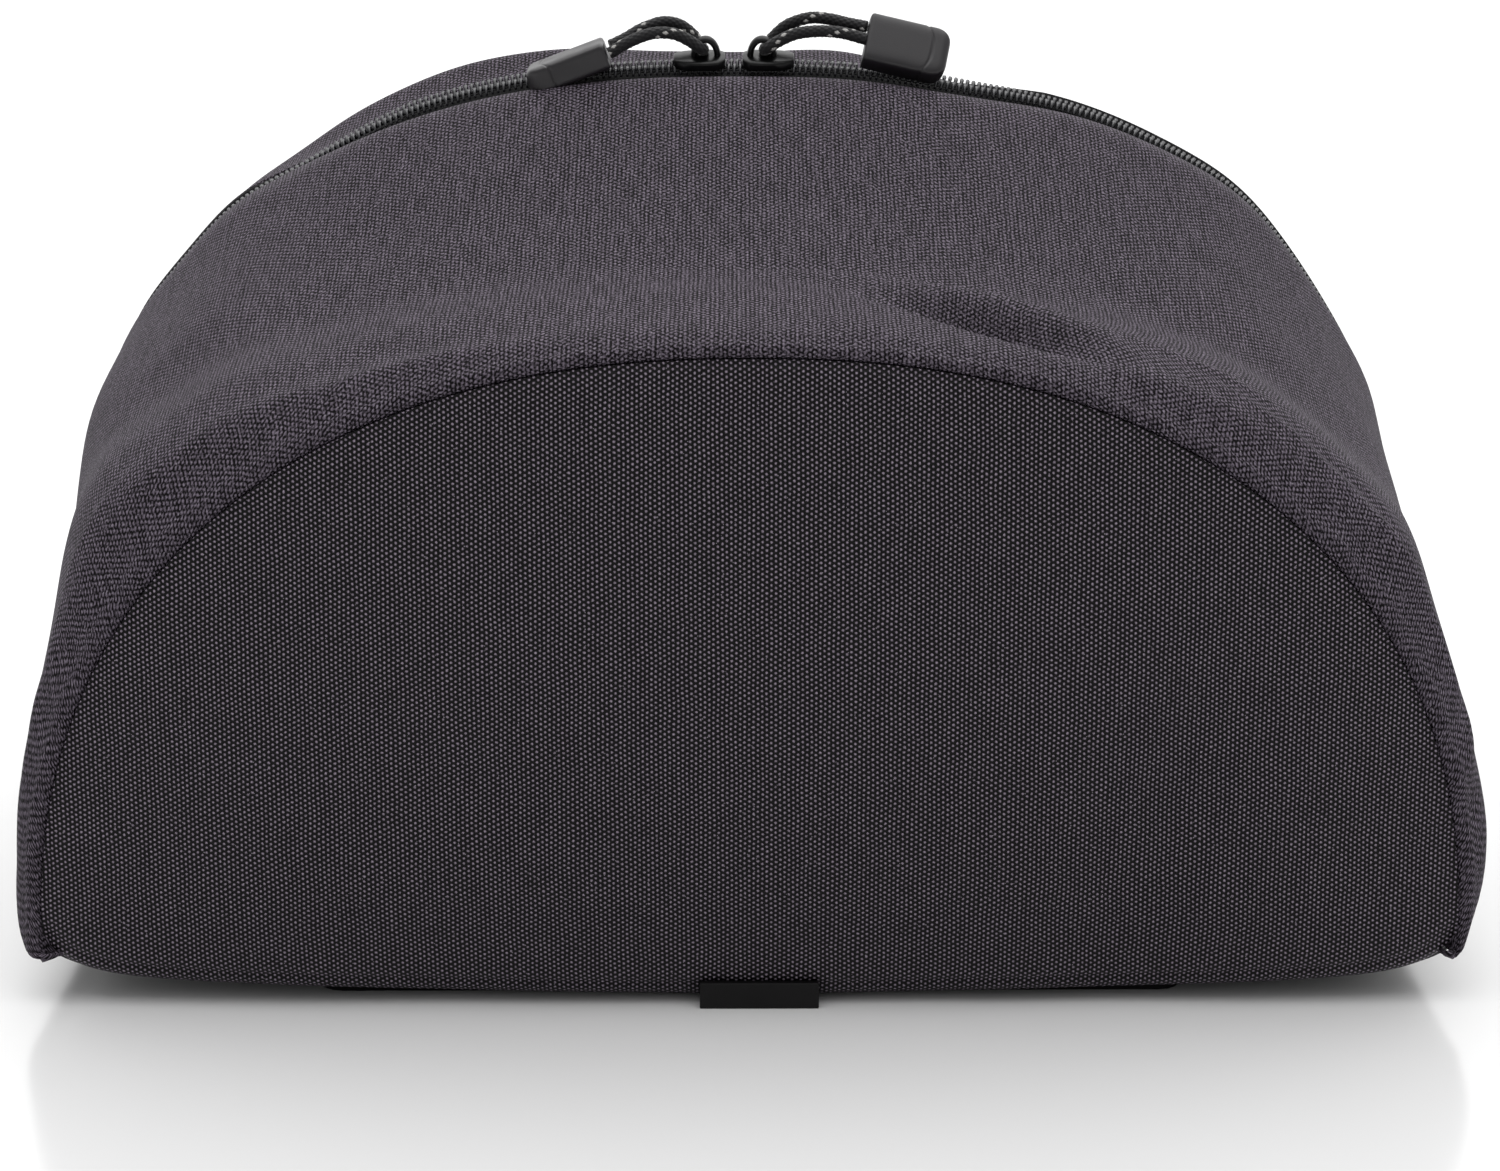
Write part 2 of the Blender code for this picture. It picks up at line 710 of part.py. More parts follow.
def add_cord(side, material):
    points = cord_points(side)
    curve = bpy.data.curves.new("cord_" + side, "CURVE")
    curve.dimensions = "3D"
    curve.bevel_depth = CORD_DIAMETER / 2
    curve.bevel_resolution = 2
    curve.use_fill_caps = True
    line = curve.splines.new("POLY")
    line.points.add(len(points) - 1)
    for target, point in zip(line.points, points):
        target.co = (*point, 1.0)
    line.use_smooth = True
    curve.materials.append(material)
    cord = bpy.data.objects.new("cord_" + side, curve)
    bpy.context.scene.collection.objects.link(cord)
    return cord


def pull_frame(side):
    """World matrix of a pull: X along it from the cord's ends, Z out of its broad face."""
    outward = -1 if side == "left" else 1
    pitch, roll = (math.radians(angle) for angle in PULL_TILT[side])
    points = cord_points(side)
    ends = (Vector(points[0]) + Vector(points[-1])) / 2
    along = Vector((outward * math.cos(pitch), 0.0, -math.sin(pitch)))
    across = Vector((0.0, math.cos(roll), math.sin(roll)))
    across = (across - along * across.dot(along)).normalized()
    face = along.cross(across) * outward
    across = face.cross(along)
    frame = Matrix.Identity(4)
    frame.col[0] = (*along, 0.0)
    frame.col[1] = (*across, 0.0)
    frame.col[2] = (*face, 0.0)
    frame.col[3] = (*(ends + along * (GAP + CORD_DIAMETER / 4)), 1.0)
    return frame


def add_pull(side, material):
    """Moulded pull with a rounded outer end."""
    half = PULL_WIDTH / 2
    outline = [(0.0, -half)]
    for sign in (-1, 1):
        centre_x = PULL_LENGTH - PULL_ROUND
        centre_y = sign * (half - PULL_ROUND)
        for step in range(5):
            turn = (step - 4 if sign < 0 else step) * math.pi / 8
            outline.append((centre_x + PULL_ROUND * math.cos(turn), centre_y + PULL_ROUND * math.sin(turn)))
    outline.append((0.0, half))
    rings = [[(x, y, z) for x, y in outline] for z in (-PULL_THICK / 2, PULL_THICK / 2)]
    pull = add_loft("pull_" + side, rings, material, 40)
    pull.matrix_world = pull_frame(side)
    bevel = pull.modifiers.new("soft edges", "BEVEL")
    bevel.width = PULL_EDGE
    bevel.segments = 2
    bevel.limit_method = "ANGLE"
    bevel.angle_limit = math.radians(50)
    return pull


def build_bag():
    clear_scene()
    panel_cloth = finish("panel woven nylon", (0.012, 0.012, 0.014), 0.75)
    gusset_cloth = finish("gusset woven nylon", (0.02, 0.02, 0.023), 0.75)
    floor_cloth = finish("floor coated nylon", (0.01, 0.01, 0.011), 0.6)
    tape_cloth = finish("zipper tape", (0.008, 0.008, 0.009), 0.8)
    coil_nylon = finish("zipper coil nylon", (0.015, 0.015, 0.016), 0.35)
    slider_enamel = finish("slider black enamel", (0.01, 0.01, 0.011), 0.3, 0.6)
    cord_cloth = finish("cord braid", (0.018, 0.018, 0.02), 0.7)
    pull_rubber = finish("pull moulded rubber", (0.02, 0.02, 0.022), 0.5)
    plate_plastic = finish("plate plastic", (0.02, 0.02, 0.022), 0.5)

    add_panel("front_panel", -1, panel_cloth)
    add_panel("rear_panel", 1, panel_cloth)
    add_gusset("front_gusset", FRONT_SECTIONS, FRONT_FOLDS, -1, gusset_cloth)
    add_gusset("rear_gusset", REAR_SECTIONS, REAR_FOLDS, 1, gusset_cloth)
    add_floor(floor_cloth)
    add_tape("zipper_tape_front", FRONT_SECTIONS, FRONT_FOLDS, -1, tape_cloth)
    add_tape("zipper_tape_rear", REAR_SECTIONS, REAR_FOLDS, 1, tape_cloth)
    add_coil(coil_nylon)
    add_end_strip("end_strip_left", -1, tape_cloth)
    add_end_strip("end_strip_right", 1, tape_cloth)
    for side in ("left", "right"):
        add_slider("slider_" + side, side, slider_enamel)
        add_cord(side, cord_cloth)
        add_pull(side, pull_rubber)
    add_plate(plate_plastic)
    add_tab(plate_plastic)


build_bag()
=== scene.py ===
# %% [markdown]
# # A soft rack bag for a bicycle
#
# This lesson dresses a plain solid model as the real thing: a domed bag of woven black
# nylon, with a two-way zipper over its ridge and two cord pulls. The solid model is
# loaded first and stays as it is. Each visible piece is then built over the solid that
# it stands for, in metres, with +Z up and the bag's front towards -Y.

# %% Load the solid model
import json
import math
from collections import namedtuple

import bmesh
import bpy
import numpy as np
from mathutils import Matrix, Vector

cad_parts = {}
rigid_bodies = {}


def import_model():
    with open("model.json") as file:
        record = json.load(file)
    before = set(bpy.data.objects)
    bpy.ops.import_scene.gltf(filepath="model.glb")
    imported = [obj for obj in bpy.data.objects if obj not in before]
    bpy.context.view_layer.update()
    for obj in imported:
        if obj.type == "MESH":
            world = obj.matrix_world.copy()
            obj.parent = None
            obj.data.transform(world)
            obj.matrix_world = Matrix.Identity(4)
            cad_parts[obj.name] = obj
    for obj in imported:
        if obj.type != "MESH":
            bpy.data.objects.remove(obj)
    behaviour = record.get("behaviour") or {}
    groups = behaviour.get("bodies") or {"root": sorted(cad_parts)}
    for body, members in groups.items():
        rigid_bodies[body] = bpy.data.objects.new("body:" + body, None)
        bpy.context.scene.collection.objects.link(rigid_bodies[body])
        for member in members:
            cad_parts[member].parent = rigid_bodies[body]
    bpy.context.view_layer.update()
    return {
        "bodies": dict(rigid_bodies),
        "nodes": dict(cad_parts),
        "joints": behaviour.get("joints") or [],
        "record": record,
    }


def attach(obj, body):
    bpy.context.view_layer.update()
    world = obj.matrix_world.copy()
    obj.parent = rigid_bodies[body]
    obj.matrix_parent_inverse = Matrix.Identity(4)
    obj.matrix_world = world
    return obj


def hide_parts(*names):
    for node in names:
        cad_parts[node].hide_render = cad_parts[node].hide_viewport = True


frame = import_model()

MM = 0.001

# %% [markdown]
# ## The camera
#
# The photographer stood close in front with a short telephoto lens, a little above the
# bag. The distance shows in how much smaller the ridge looks than the front panel. The
# focal length in pixels, the place and the tilt were fitted to the seam, the zipper and
# the lower edge, and are turned into Blender's millimetres of a 36 mm sensor here.

# %% Camera
PHOTO_WIDTH = 1500
FOCAL_PIXELS = 2947
camera_data = bpy.data.cameras.new("camera")
camera_data.sensor_fit = "HORIZONTAL"
camera_data.sensor_width = 36
camera_data.lens = FOCAL_PIXELS / PHOTO_WIDTH * camera_data.sensor_width
camera = bpy.data.objects.new("camera", camera_data)
camera.location = (-0.0030, -0.7561, 0.2708)
camera.rotation_euler = (math.radians(90 - 14.94), 0, math.radians(-0.256))
bpy.context.scene.collection.objects.link(camera)
bpy.context.scene.camera = camera
print("lens", round(camera_data.lens, 2), "mm")

# %% [markdown]
# ## Small helpers
#
# Colours are written as the hex values that a colour picker shows, and one function turns
# them into the linear values that shaders need. One more function adds a node to any
# tree with its settings, values and links, so that each material reads as a short list.


# %% Colours and nodes
def linear(code):
    """sRGB hex code to linear colour."""
    values = [int(code[place : place + 2], 16) / 255 for place in (1, 3, 5)]
    return [value / 12.92 if value <= 0.04045 else ((value + 0.055) / 1.055) ** 2.4 for value in values]


def add_node(tree, kind, links=(), values=(), **settings):
    node = tree.nodes.new(kind)
    for name, value in settings.items():
        setattr(node, name, value)
    for socket, value in dict(values).items():
        node.inputs[socket].default_value = value
    for socket, source in dict(links).items():
        tree.links.new(source, node.inputs[socket])
    return node


def new_material(name, base, roughness, **values):
    """Material with a Principled BSDF. Further values are named as the shader's sockets,
    with underscores for spaces."""
    material = bpy.data.materials.new(name)
    material.use_nodes = True
    shader = material.node_tree.nodes["Principled BSDF"]
    shader.inputs["Base Color"].default_value = (*linear(base), 1)
    shader.inputs["Roughness"].default_value = roughness
    for socket, value in values.items():
        shader.inputs[socket.replace("_", " ")].default_value = value
    return material, material.node_tree, shader


def maths(tree, operation, first, second=None):
    """Output of a Math node. Each operand is a socket or a number."""
    node = add_node(tree, "ShaderNodeMath", operation=operation)
    for place, operand in enumerate((first, second)):
        if isinstance(operand, bpy.types.NodeSocket):
            tree.links.new(operand, node.inputs[place])
        elif operand is not None:
            node.inputs[place].default_value = operand
    return node.outputs[0]


print("black nylon, linear:", [round(value, 4) for value in linear("#1b1b1e")])

# %% [markdown]
# ## The studio
#
# A catalogue photograph like this one is made on a pale glossy sheet under a broad light
# from above, with a white wall behind. A wide sun lamp gives the same even light
# everywhere, so the sheet stays white to its far end. The world stands for the walls: it
# is brightest above and behind, and dims towards the photographer's side, which keeps
# the front of the bag darker than its top. The sheet's gloss mirrors the bag softly.

# %% Studio
FLOOR_HALF = 9.0
floor_material, tree, shader = new_material("pale glossy acrylic sheet", "#f0f0f0", 0.16)
shader.inputs["IOR"].default_value = 1.9
floor_mesh = bpy.data.meshes.new("studio_floor")
corners = [(-FLOOR_HALF, -FLOOR_HALF, 0), (FLOOR_HALF, -FLOOR_HALF, 0), (FLOOR_HALF, FLOOR_HALF, 0), (-FLOOR_HALF, FLOOR_HALF, 0)]
floor_mesh.from_pydata(corners, [], [(0, 1, 2, 3)])
floor_mesh.materials.append(floor_material)
studio_floor = bpy.data.objects.new("studio_floor", floor_mesh)
bpy.context.scene.collection.objects.link(studio_floor)

world = bpy.data.worlds.new("studio walls")
world.use_nodes = True
tree = world.node_tree
direction = add_node(tree, "ShaderNodeTexCoord")
height = add_node(
    tree, "ShaderNodeVectorMath", {0: direction.outputs["Generated"]}, {1: (0.0, 0.85, 0.5)}, operation="DOT_PRODUCT"
)
axes = add_node(tree, "ShaderNodeSeparateXYZ", {0: direction.outputs["Generated"]})
sideways = maths(tree, "MULTIPLY", maths(tree, "MULTIPLY", axes.outputs["X"], axes.outputs["X"]), 0.45)
gradient = add_node(
    tree, "ShaderNodeMapRange", {"Value": maths(tree, "SUBTRACT", height.outputs["Value"], sideways)},
    {"From Min": -0.5, "From Max": 0.85, "To Min": 0.40, "To Max": 1.25},
)
tree.links.new(gradient.outputs["Result"], tree.nodes["Background"].inputs["Strength"])
tree.nodes["Background"].inputs["Color"].default_value = (1, 1, 1, 1)
bpy.context.scene.world = world
bpy.context.scene.view_settings.view_transform = "Standard"

lamp_data = bpy.data.lights.new("overhead softbox", "SUN")
lamp_data.energy = 1.6
lamp_data.angle = math.radians(75)
lamp = bpy.data.objects.new("overhead softbox", lamp_data)
lamp.rotation_euler = (math.radians(-6), math.radians(4), 0)
bpy.context.scene.collection.objects.link(lamp)
print("studio: one broad lamp and a pale sheet of", 2 * FLOOR_HALF, "m")

# %% [markdown]
# ## The shape of the bag
#
# The bag is a strip of cloth bent over an arch, from a half-round panel in front to one
# behind. Every cross arch is described by a few shares of named sizes, so the whole
# surface is one function of two numbers: the share along the arch, from the left foot
# to the right, and the share of the depth, from the zipper to the panel. The solid model
# was made from the same sizes, and the cloth follows it with rounder shoulders.

# %% Sizes of the bag
GAP = 0.3 * MM
PLATE_THICK = 4.2 * MM
CLOTH = 2.4 * MM
HEM_CLOTH = 1.2 * MM
TAPE = 0.9 * MM
UNDERSIDE = PLATE_THICK + GAP
PANEL_HALF = 164 * MM
PANEL_HEIGHT = 146.2 * MM
PANEL_WAIST = 7 * MM
PANEL_POWER = 2.28
PANEL_TUCK = 1 * MM
PANEL_BULGE = 7 * MM
HALF_DEPTH = 118.8 * MM
LEAN = 6.8 * MM
CORNER_RISE = 7 * MM
HEM_SAG = 1.7 * MM
RIDGE_HALF = 172.5 * MM
RIDGE_HEIGHT = 200.2 * MM
RIDGE_WAIST = 25.5 * MM
RIDGE_POWER = 2.65
RIDGE_TUCK = 4.5 * MM
FOOT_HEIGHT = 5 * MM
SAG = 6 * MM
FOLD = 5 * MM
COIL_HALF = 3.4 * MM
COIL_SLOT = 3.1 * MM
COIL_PROUD = 1.2 * MM
ZIP_START = 38 * MM
TAPE_REACH = 0.05
HEM_FADE = 0.13
SEAM_FADE = 0.06

Section = namedtuple("Section", "depth rise spread lip padding")
FRONT_SECTIONS = (
    Section(1.000, 0.000, 0.00, 1.0, 0.6),
    Section(0.972, 0.040, 0.30, 1.0, 1.0),
    Section(0.940, 0.090, 0.59, 0.6, 1.0),
    Section(0.900, 0.132, 0.77, 0.2, 1.0),
    Section(0.840, 0.174, 0.88, 0.0, 1.0),
    Section(0.780, 0.204, 0.93, 0.0, 1.0),
    Section(0.640, 0.246, 0.98, 0.0, 1.0),
    Section(0.450, 0.432, 1.02, 0.0, 1.0),
    Section(0.250, 0.703, 1.00, 0.0, 1.0),
    Section(0.130, 0.873, 1.00, 0.0, 1.0),
    Section(0.055, 0.972, 1.00, 0.0, 0.0),
    Section(0.000, 1.000, 1.00, 0.0, 0.0),
)
REAR_SECTIONS = (
    Section(1.000, 0.000, 0.00, 1.0, 0.6),
    Section(0.972, 0.060, 0.20, 1.0, 1.0),
    Section(0.900, 0.300, 0.85, 0.0, 1.0),
    Section(0.780, 0.500, 0.94, 0.0, 1.0),
    Section(0.640, 0.660, 0.98, 0.0, 1.0),
    Section(0.450, 0.820, 1.00, 0.0, 1.0),
    Section(0.250, 0.930, 1.00, 0.0, 1.0),
    Section(0.130, 0.972, 1.00, 0.0, 1.0),
    Section(0.055, 0.992, 1.00, 0.0, 0.0),
    Section(0.000, 1.000, 1.00, 0.0, 0.0),
)
SEAM = Section(1.0, 0.0, 0.0, 0.0, 1.0)
RIDGE = Section(0.0, 1.0, 1.0, 0.0, 0.0)

Swell = namedtuple("Swell", "along reach height")
ARCH_SWELLS = (
    Swell(0.125, 0.045, -0.40),
    Swell(0.210, 0.046, 1.00),
    Swell(0.275, 0.028, 0.45),
    Swell(0.590, 0.040, -0.30),
    Swell(0.712, 0.030, 0.25),
    Swell(0.812, 0.026, 0.28),
    Swell(0.858, 0.045, -0.50),
    Swell(0.945, 0.024, 0.20),
    Swell(1.000, 0.022, -2.20),
)


# %% Reading the tables
def smooth_value(places, values, where):
    """Curve through the values without overshoot, read at the given places."""
    places = np.asarray(places, float)
    values = np.asarray(values, float)
    steps = np.diff(places)
    slopes = np.diff(values) / steps
    bends = np.zeros(len(places))
    same = slopes[:-1] * slopes[1:] > 0
    first = 2 * steps[1:] + steps[:-1]
    second = steps[1:] + 2 * steps[:-1]
    safe = np.where(same, slopes[:-1] * slopes[1:], 1.0)
    mean = (first + second) * safe / (first * slopes[1:] + second * slopes[:-1] + (~same))
    bends[1:-1] = np.where(same, mean, 0.0)
    bends[0] = slopes[0]
    bends[-1] = slopes[-1]
    where = np.clip(where, places[0], places[-1])
    cell = np.clip(np.searchsorted(places, where) - 1, 0, len(steps) - 1)
    width = steps[cell]
    share = (where - places[cell]) / width
    rest = 1 - share
    return (
        values[cell] * (1 + 2 * share) * rest**2
        + bends[cell] * width * share * rest**2
        + values[cell + 1] * (3 - 2 * share) * share**2
        - bends[cell + 1] * width * rest * share**2
    )


def section_at(sections, depth):
    """The table's columns at any depth share."""
    ordered = sections[::-1]
    places = [section.depth for section in ordered]
    columns = []
    for column in ("rise", "spread", "lip", "padding"):
        values = [getattr(section, column) for section in ordered]
        columns.append(float(smooth_value(places, values, depth)))
    return Section(depth, *columns)


def cloth_thickness(section):
    return HEM_CLOTH + (CLOTH - HEM_CLOTH) * section.padding


def arch(section, shares):
    """Points (x, z) of one cross arch, its outward normals and its whole length."""
    shares = np.asarray(shares, float)
    spread = section.spread
    half = PANEL_HALF + (RIDGE_HALF - PANEL_HALF) * spread
    top = PANEL_HEIGHT + (RIDGE_HEIGHT - PANEL_HEIGHT) * section.rise
    waist = PANEL_WAIST + (RIDGE_WAIST - PANEL_WAIST) * spread
    power = PANEL_POWER + (RIDGE_POWER - PANEL_POWER) * abs(spread) ** 2.5
    tuck = PANEL_TUCK + (RIDGE_TUCK - PANEL_TUCK) * spread
    angle = np.linspace(0, math.pi / 2, 900)
    dome_x = half * np.abs(np.cos(angle)) ** (2 / power)
    dome_z = waist + (top - waist) * np.abs(np.sin(angle)) ** (2 / power)
    dome_x[-1] = 0
    below = np.linspace(1, 0, 200)[:-1]
    right_x = np.concatenate([half - tuck * below**2, dome_x])
    right_z = np.concatenate([waist - (waist - FOOT_HEIGHT) * below, dome_z])
    x = np.concatenate([-right_x, right_x[-2::-1]])
    z = np.concatenate([right_z, right_z[-2::-1]]) + UNDERSIDE
    length = np.concatenate([[0], np.cumsum(np.hypot(np.diff(x), np.diff(z)))])
    place = shares * length[-1]
    along_x = np.interp(place, length, np.gradient(x, length))
    along_z = np.interp(place, length, np.gradient(z, length))
    size = np.hypot(along_x, along_z)
    normal_x = -along_z / size
    normal_z = along_x / size
    swell = sum(row.height * np.exp(-(((shares - row.along) / row.reach) ** 2)) for row in ARCH_SWELLS)
    swell = swell * SAG * spread
    x = np.interp(place, length, x) + normal_x * swell
    z = np.interp(place, length, z) + normal_z * swell
    return x, z, normal_x, normal_z, length[-1]


def panel_plane(height):
    """Distance of a panel's edge from the middle plane, at a world height."""
    return HALF_DEPTH - LEAN * (height - UNDERSIDE) / PANEL_HEIGHT


def hem_edge():
    return COIL_HALF + COIL_SLOT


print("arch length at the ridge", round(arch(RIDGE, [0])[4], 4), "and at the seam", round(arch(SEAM, [0])[4], 4))

# %% [markdown]
# ## Folds
#
# Cloth over thin foam doesn't crease sharply. It shows soft valleys and ridges where it
# was gathered to the seam, and long shallow dents where it sags. Each is one row of a
# table: where it lies, how far it reaches, the slope of its line and its height. The
# first rows are those of the solid model, and the finer ones are seen only here.

# %% Table of folds
Fold = namedtuple("Fold", "along depth reach width slope height")
FRONT_FOLDS = (
    Fold(0.270, 0.45, 0.060, 0.250, 0.00, 0.35),
    Fold(0.770, 0.50, 0.100, 0.330, 0.00, -0.35),
    Fold(0.192, 0.30, 0.030, 0.200, 0.00, 0.50),
    Fold(0.603, 0.742, 0.046, 0.046, 1.85, 0.62),
    Fold(0.603, 0.830, 0.044, 0.038, 1.75, -1.35),
    Fold(0.700, 0.850, 0.045, 0.050, 0.90, 0.10),
    Fold(0.700, 0.940, 0.050, 0.030, 0.35, 0.30),
    Fold(0.540, 0.900, 0.030, 0.045, 0.80, 0.12),
    Fold(0.690, 0.600, 0.070, 0.090, 1.20, -0.25),
    Fold(0.345, 0.880, 0.060, 0.045, 0.10, -0.16),
    Fold(0.335, 0.945, 0.055, 0.028, 0.15, 0.28),
    Fold(0.250, 0.935, 0.050, 0.030, -0.20, 0.26),
    Fold(0.150, 0.940, 0.060, 0.032, -0.10, 0.24),
    Fold(0.835, 0.938, 0.070, 0.032, 0.20, 0.30),
)
FRONT_CREASES = (
    Fold(0.525, 0.612, 0.070, 0.013, 0.20, -0.13),
    Fold(0.530, 0.645, 0.060, 0.015, 0.20, 0.07),
    Fold(0.309, 0.968, 0.012, 0.009, -1.30, 0.24),
    Fold(0.300, 0.945, 0.016, 0.012, -1.30, -0.14),
    Fold(0.700, 0.830, 0.040, 0.012, 0.70, 0.12),
    Fold(0.750, 0.900, 0.050, 0.011, 0.35, 0.16),
    Fold(0.770, 0.870, 0.050, 0.010, 0.30, -0.12),
    Fold(0.810, 0.930, 0.045, 0.010, 0.20, 0.12),
    Fold(0.830, 0.890, 0.040, 0.012, 0.20, -0.12),
    Fold(0.665, 0.940, 0.030, 0.012, 0.90, 0.14),
    Fold(0.200, 0.900, 0.050, 0.014, -0.50, 0.10),
    Fold(0.160, 0.930, 0.040, 0.012, -0.40, -0.10),
    Fold(0.110, 0.950, 0.040, 0.014, -0.20, 0.10),
)
REAR_FOLDS = (
    Fold(0.390, 0.17, 0.100, 0.16, 0.00, 1.60),
    Fold(0.540, 0.17, 0.050, 0.14, 0.00, 0.90),
    Fold(0.680, 0.30, 0.110, 0.20, 0.00, -0.60),
    Fold(0.300, 0.80, 0.070, 0.09, -0.50, -0.40),
    Fold(0.760, 0.76, 0.080, 0.09, 0.60, -0.40),
)
REAR_CREASES = (
    Fold(0.300, 0.930, 0.050, 0.018, -0.50, -0.14),
    Fold(0.620, 0.900, 0.060, 0.020, 0.40, 0.12),
    Fold(0.720, 0.940, 0.050, 0.016, 0.60, -0.14),
    Fold(0.440, 0.700, 0.080, 0.020, 0.10, -0.10),
)


# %% Reading the folds
def fold_height(folds, shares, depth):
    """Sum of the folds, which die out towards the hem and the seam."""
    fade = min(max(depth / HEM_FADE, 0.0), 1.0) * min((1 - depth) / SEAM_FADE, 1.0)
    total = np.zeros(len(shares))
    for fold in folds:
        along = shares - fold.along
        across = depth - fold.depth - fold.slope * along
        total += fold.height * np.exp(-((along / fold.reach) ** 2) - (across / fold.width) ** 2)
    return total * FOLD * fade


def skin(sections, folds, side, shares, depth, outwards):
    """Points of the cloth at one depth share, moved along the arch's normal."""
    section = section_at(sections, max(depth, 0.0))
    x, z, normal_x, normal_z, _ = arch(section, shares)
    lift = section.lip * (GAP + cloth_thickness(section)) + outwards
    lift = lift + fold_height(folds, shares, depth)
    seam_plane = panel_plane(arch(SEAM, shares)[1])
    if depth < 0:
        seam_plane = np.full(len(shares), HALF_DEPTH)
    y = hem_edge() + depth * (seam_plane - hem_edge())
    return np.stack([x + normal_x * lift, side * y, z + normal_z * lift], axis=1)


def soft_waves(seed, wavelength, first, second):
    """Smooth, uneven waviness between about -1 and 1, from seeded sine waves."""
    chance = np.random.default_rng(seed)
    total = np.zeros(np.broadcast(first, second).shape)
    count = 14
    for _ in range(count):
        turn = chance.uniform(0, math.pi)
        size = 2 * math.pi / (wavelength * chance.uniform(0.7, 1.6))
        total += np.sin(size * (first * math.cos(turn) + second * math.sin(turn)) + chance.uniform(0, 6.3))
    return total / math.sqrt(count)


print("folds in front:", len(FRONT_FOLDS) + len(FRONT_CREASES), "and behind:", len(REAR_FOLDS) + len(REAR_CREASES))

# %% [markdown]
# ## Woven nylon
#
# The cloth is a heavy plain weave of thick filament yarn. Each yarn comes up over its
# neighbour every second place, so the crowns form a chequerboard of small ovals, bright
# where their filaments catch the light, and dark gaps lie between. Two cosine waves
# multiplied together give just that pattern, and a third wave sinks the cloth between
# the columns of crowns. They read the piece's own UV map, which is laid out in metres
# along the threads, so the pitch is a true size: yarns 1.0 mm apart one way and 0.6 mm
# the other, measured on the front panel. The bright crowns are a painted highlight, and
# the dark gaps and sunken columns are painted shade, over the yarn's own near-black colour.


# %% Woven cloth material
def woven_cloth(name, gap_shade, crown_highlight, pitch, relief, roughness, fuzz, ramp, round_crowns=0.7, **values):
    """Plain weave with yarns pitch = (across, along) metres apart. relief is the height
    of a crown, fuzz the share of lint and uneven yarn, ramp the two heights between
    which the gap colour, with its painted shade, turns into the crown colour, with its
    painted highlight, and round_crowns how much the crowns stand out of their columns."""
    material, tree, shader = new_material(name, gap_shade, roughness, **values)
    uv = add_node(tree, "ShaderNodeUVMap", uv_map="weave")
    in_mm = add_node(tree, "ShaderNodeMapping", {"Vector": uv.outputs[0]}, {"Scale": (1000, 1000, 1)})
    # Threads never lie quite straight: a slow noise pushes the pattern about
    wander = add_node(tree, "ShaderNodeTexNoise", {"Vector": in_mm.outputs[0]}, {"Scale": 0.10, "Detail": 2})
    laid = add_node(
        tree, "ShaderNodeVectorMath", {0: wander.outputs["Color"], 2: uv.outputs[0]}, {1: (0.7 * MM, 0.5 * MM, 0)},
        operation="MULTIPLY_ADD",
    )
    split = add_node(tree, "ShaderNodeSeparateXYZ", {0: laid.outputs[0]})
    waves = []
    for axis, step in zip((0, 1), pitch):
        angle = maths(tree, "MULTIPLY", split.outputs[axis], math.pi / step)
        waves.append(maths(tree, "COSINE", angle))
    columns = maths(tree, "SUBTRACT", maths(tree, "MULTIPLY", maths(tree, "MULTIPLY", waves[0], waves[0]), 0.6), 0.3)
    crowns = maths(tree, "ADD", maths(tree, "MULTIPLY", maths(tree, "MULTIPLY", *waves), round_crowns), columns)

    # Yarns aren't all alike: a noise stretched along them makes some a little lighter
    stretch = add_node(
        tree, "ShaderNodeMapping", {"Vector": uv.outputs[0]}, {"Scale": (1 / pitch[0], 0.08 / pitch[1], 1)}
    )
    uneven = add_node(tree, "ShaderNodeTexNoise", {"Vector": stretch.outputs[0]}, {"Scale": 0.9, "Detail": 3})
    specks = add_node(tree, "ShaderNodeTexNoise", {"Vector": in_mm.outputs[0]}, {"Scale": 1.9, "Detail": 3})
    change = maths(tree, "MULTIPLY", maths(tree, "SUBTRACT", uneven.outputs["Fac"], 0.5), 0.35 * fuzz)
    fibres = maths(tree, "MULTIPLY", maths(tree, "SUBTRACT", specks.outputs["Fac"], 0.5), 1.3 * fuzz)
    change = maths(tree, "ADD", change, fibres)
    height = maths(tree, "ADD", crowns, change)
    share = maths(tree, "ADD", maths(tree, "MULTIPLY", height, 0.5), 0.5)
    # Painted light: this ramp gives the crowns a painted highlight and the gaps painted shade
    shade = add_node(tree, "ShaderNodeValToRGB", {"Fac": share})
    for element, position, colour in zip(shade.color_ramp.elements, ramp, (gap_shade, crown_highlight)):
        element.position = min(position, 1.0)
        element.color = (*linear(colour), 1)
    # Lint: a few pale flecks of loose fibre, more of them on rougher cloth
    flecks = add_node(tree, "ShaderNodeTexNoise", {"Vector": in_mm.outputs[0]}, {"Scale": 1.9, "Detail": 0})
    lint = maths(tree, "GREATER_THAN", flecks.outputs["Fac"], 0.86 - 0.03 * fuzz)
    linted = add_node(tree, "ShaderNodeMix", data_type="RGBA")
    tree.links.new(maths(tree, "MULTIPLY", lint, 0.5), linted.inputs["Factor"])
    tree.links.new(shade.outputs["Color"], linted.inputs["A"])
    linted.inputs["B"].default_value = (*linear("#a7a1a9"), 1)
    tree.links.new(linted.outputs["Result"], shader.inputs["Base Color"])
    bump = add_node(tree, "ShaderNodeBump", {"Height": height}, {"Distance": relief, "Strength": 1.0})
    tree.links.new(bump.outputs[0], shader.inputs["Normal"])
    return material


WEAVE_PITCH = (1.0 * MM, 0.6 * MM)
panel_nylon = woven_cloth(
    "woven nylon of the end panels", "#030203", "#9a8e9d", WEAVE_PITCH, 0.13 * MM, 0.50, 1.1, (0.54, 1.0),
    Specular_IOR_Level=0.18,
)
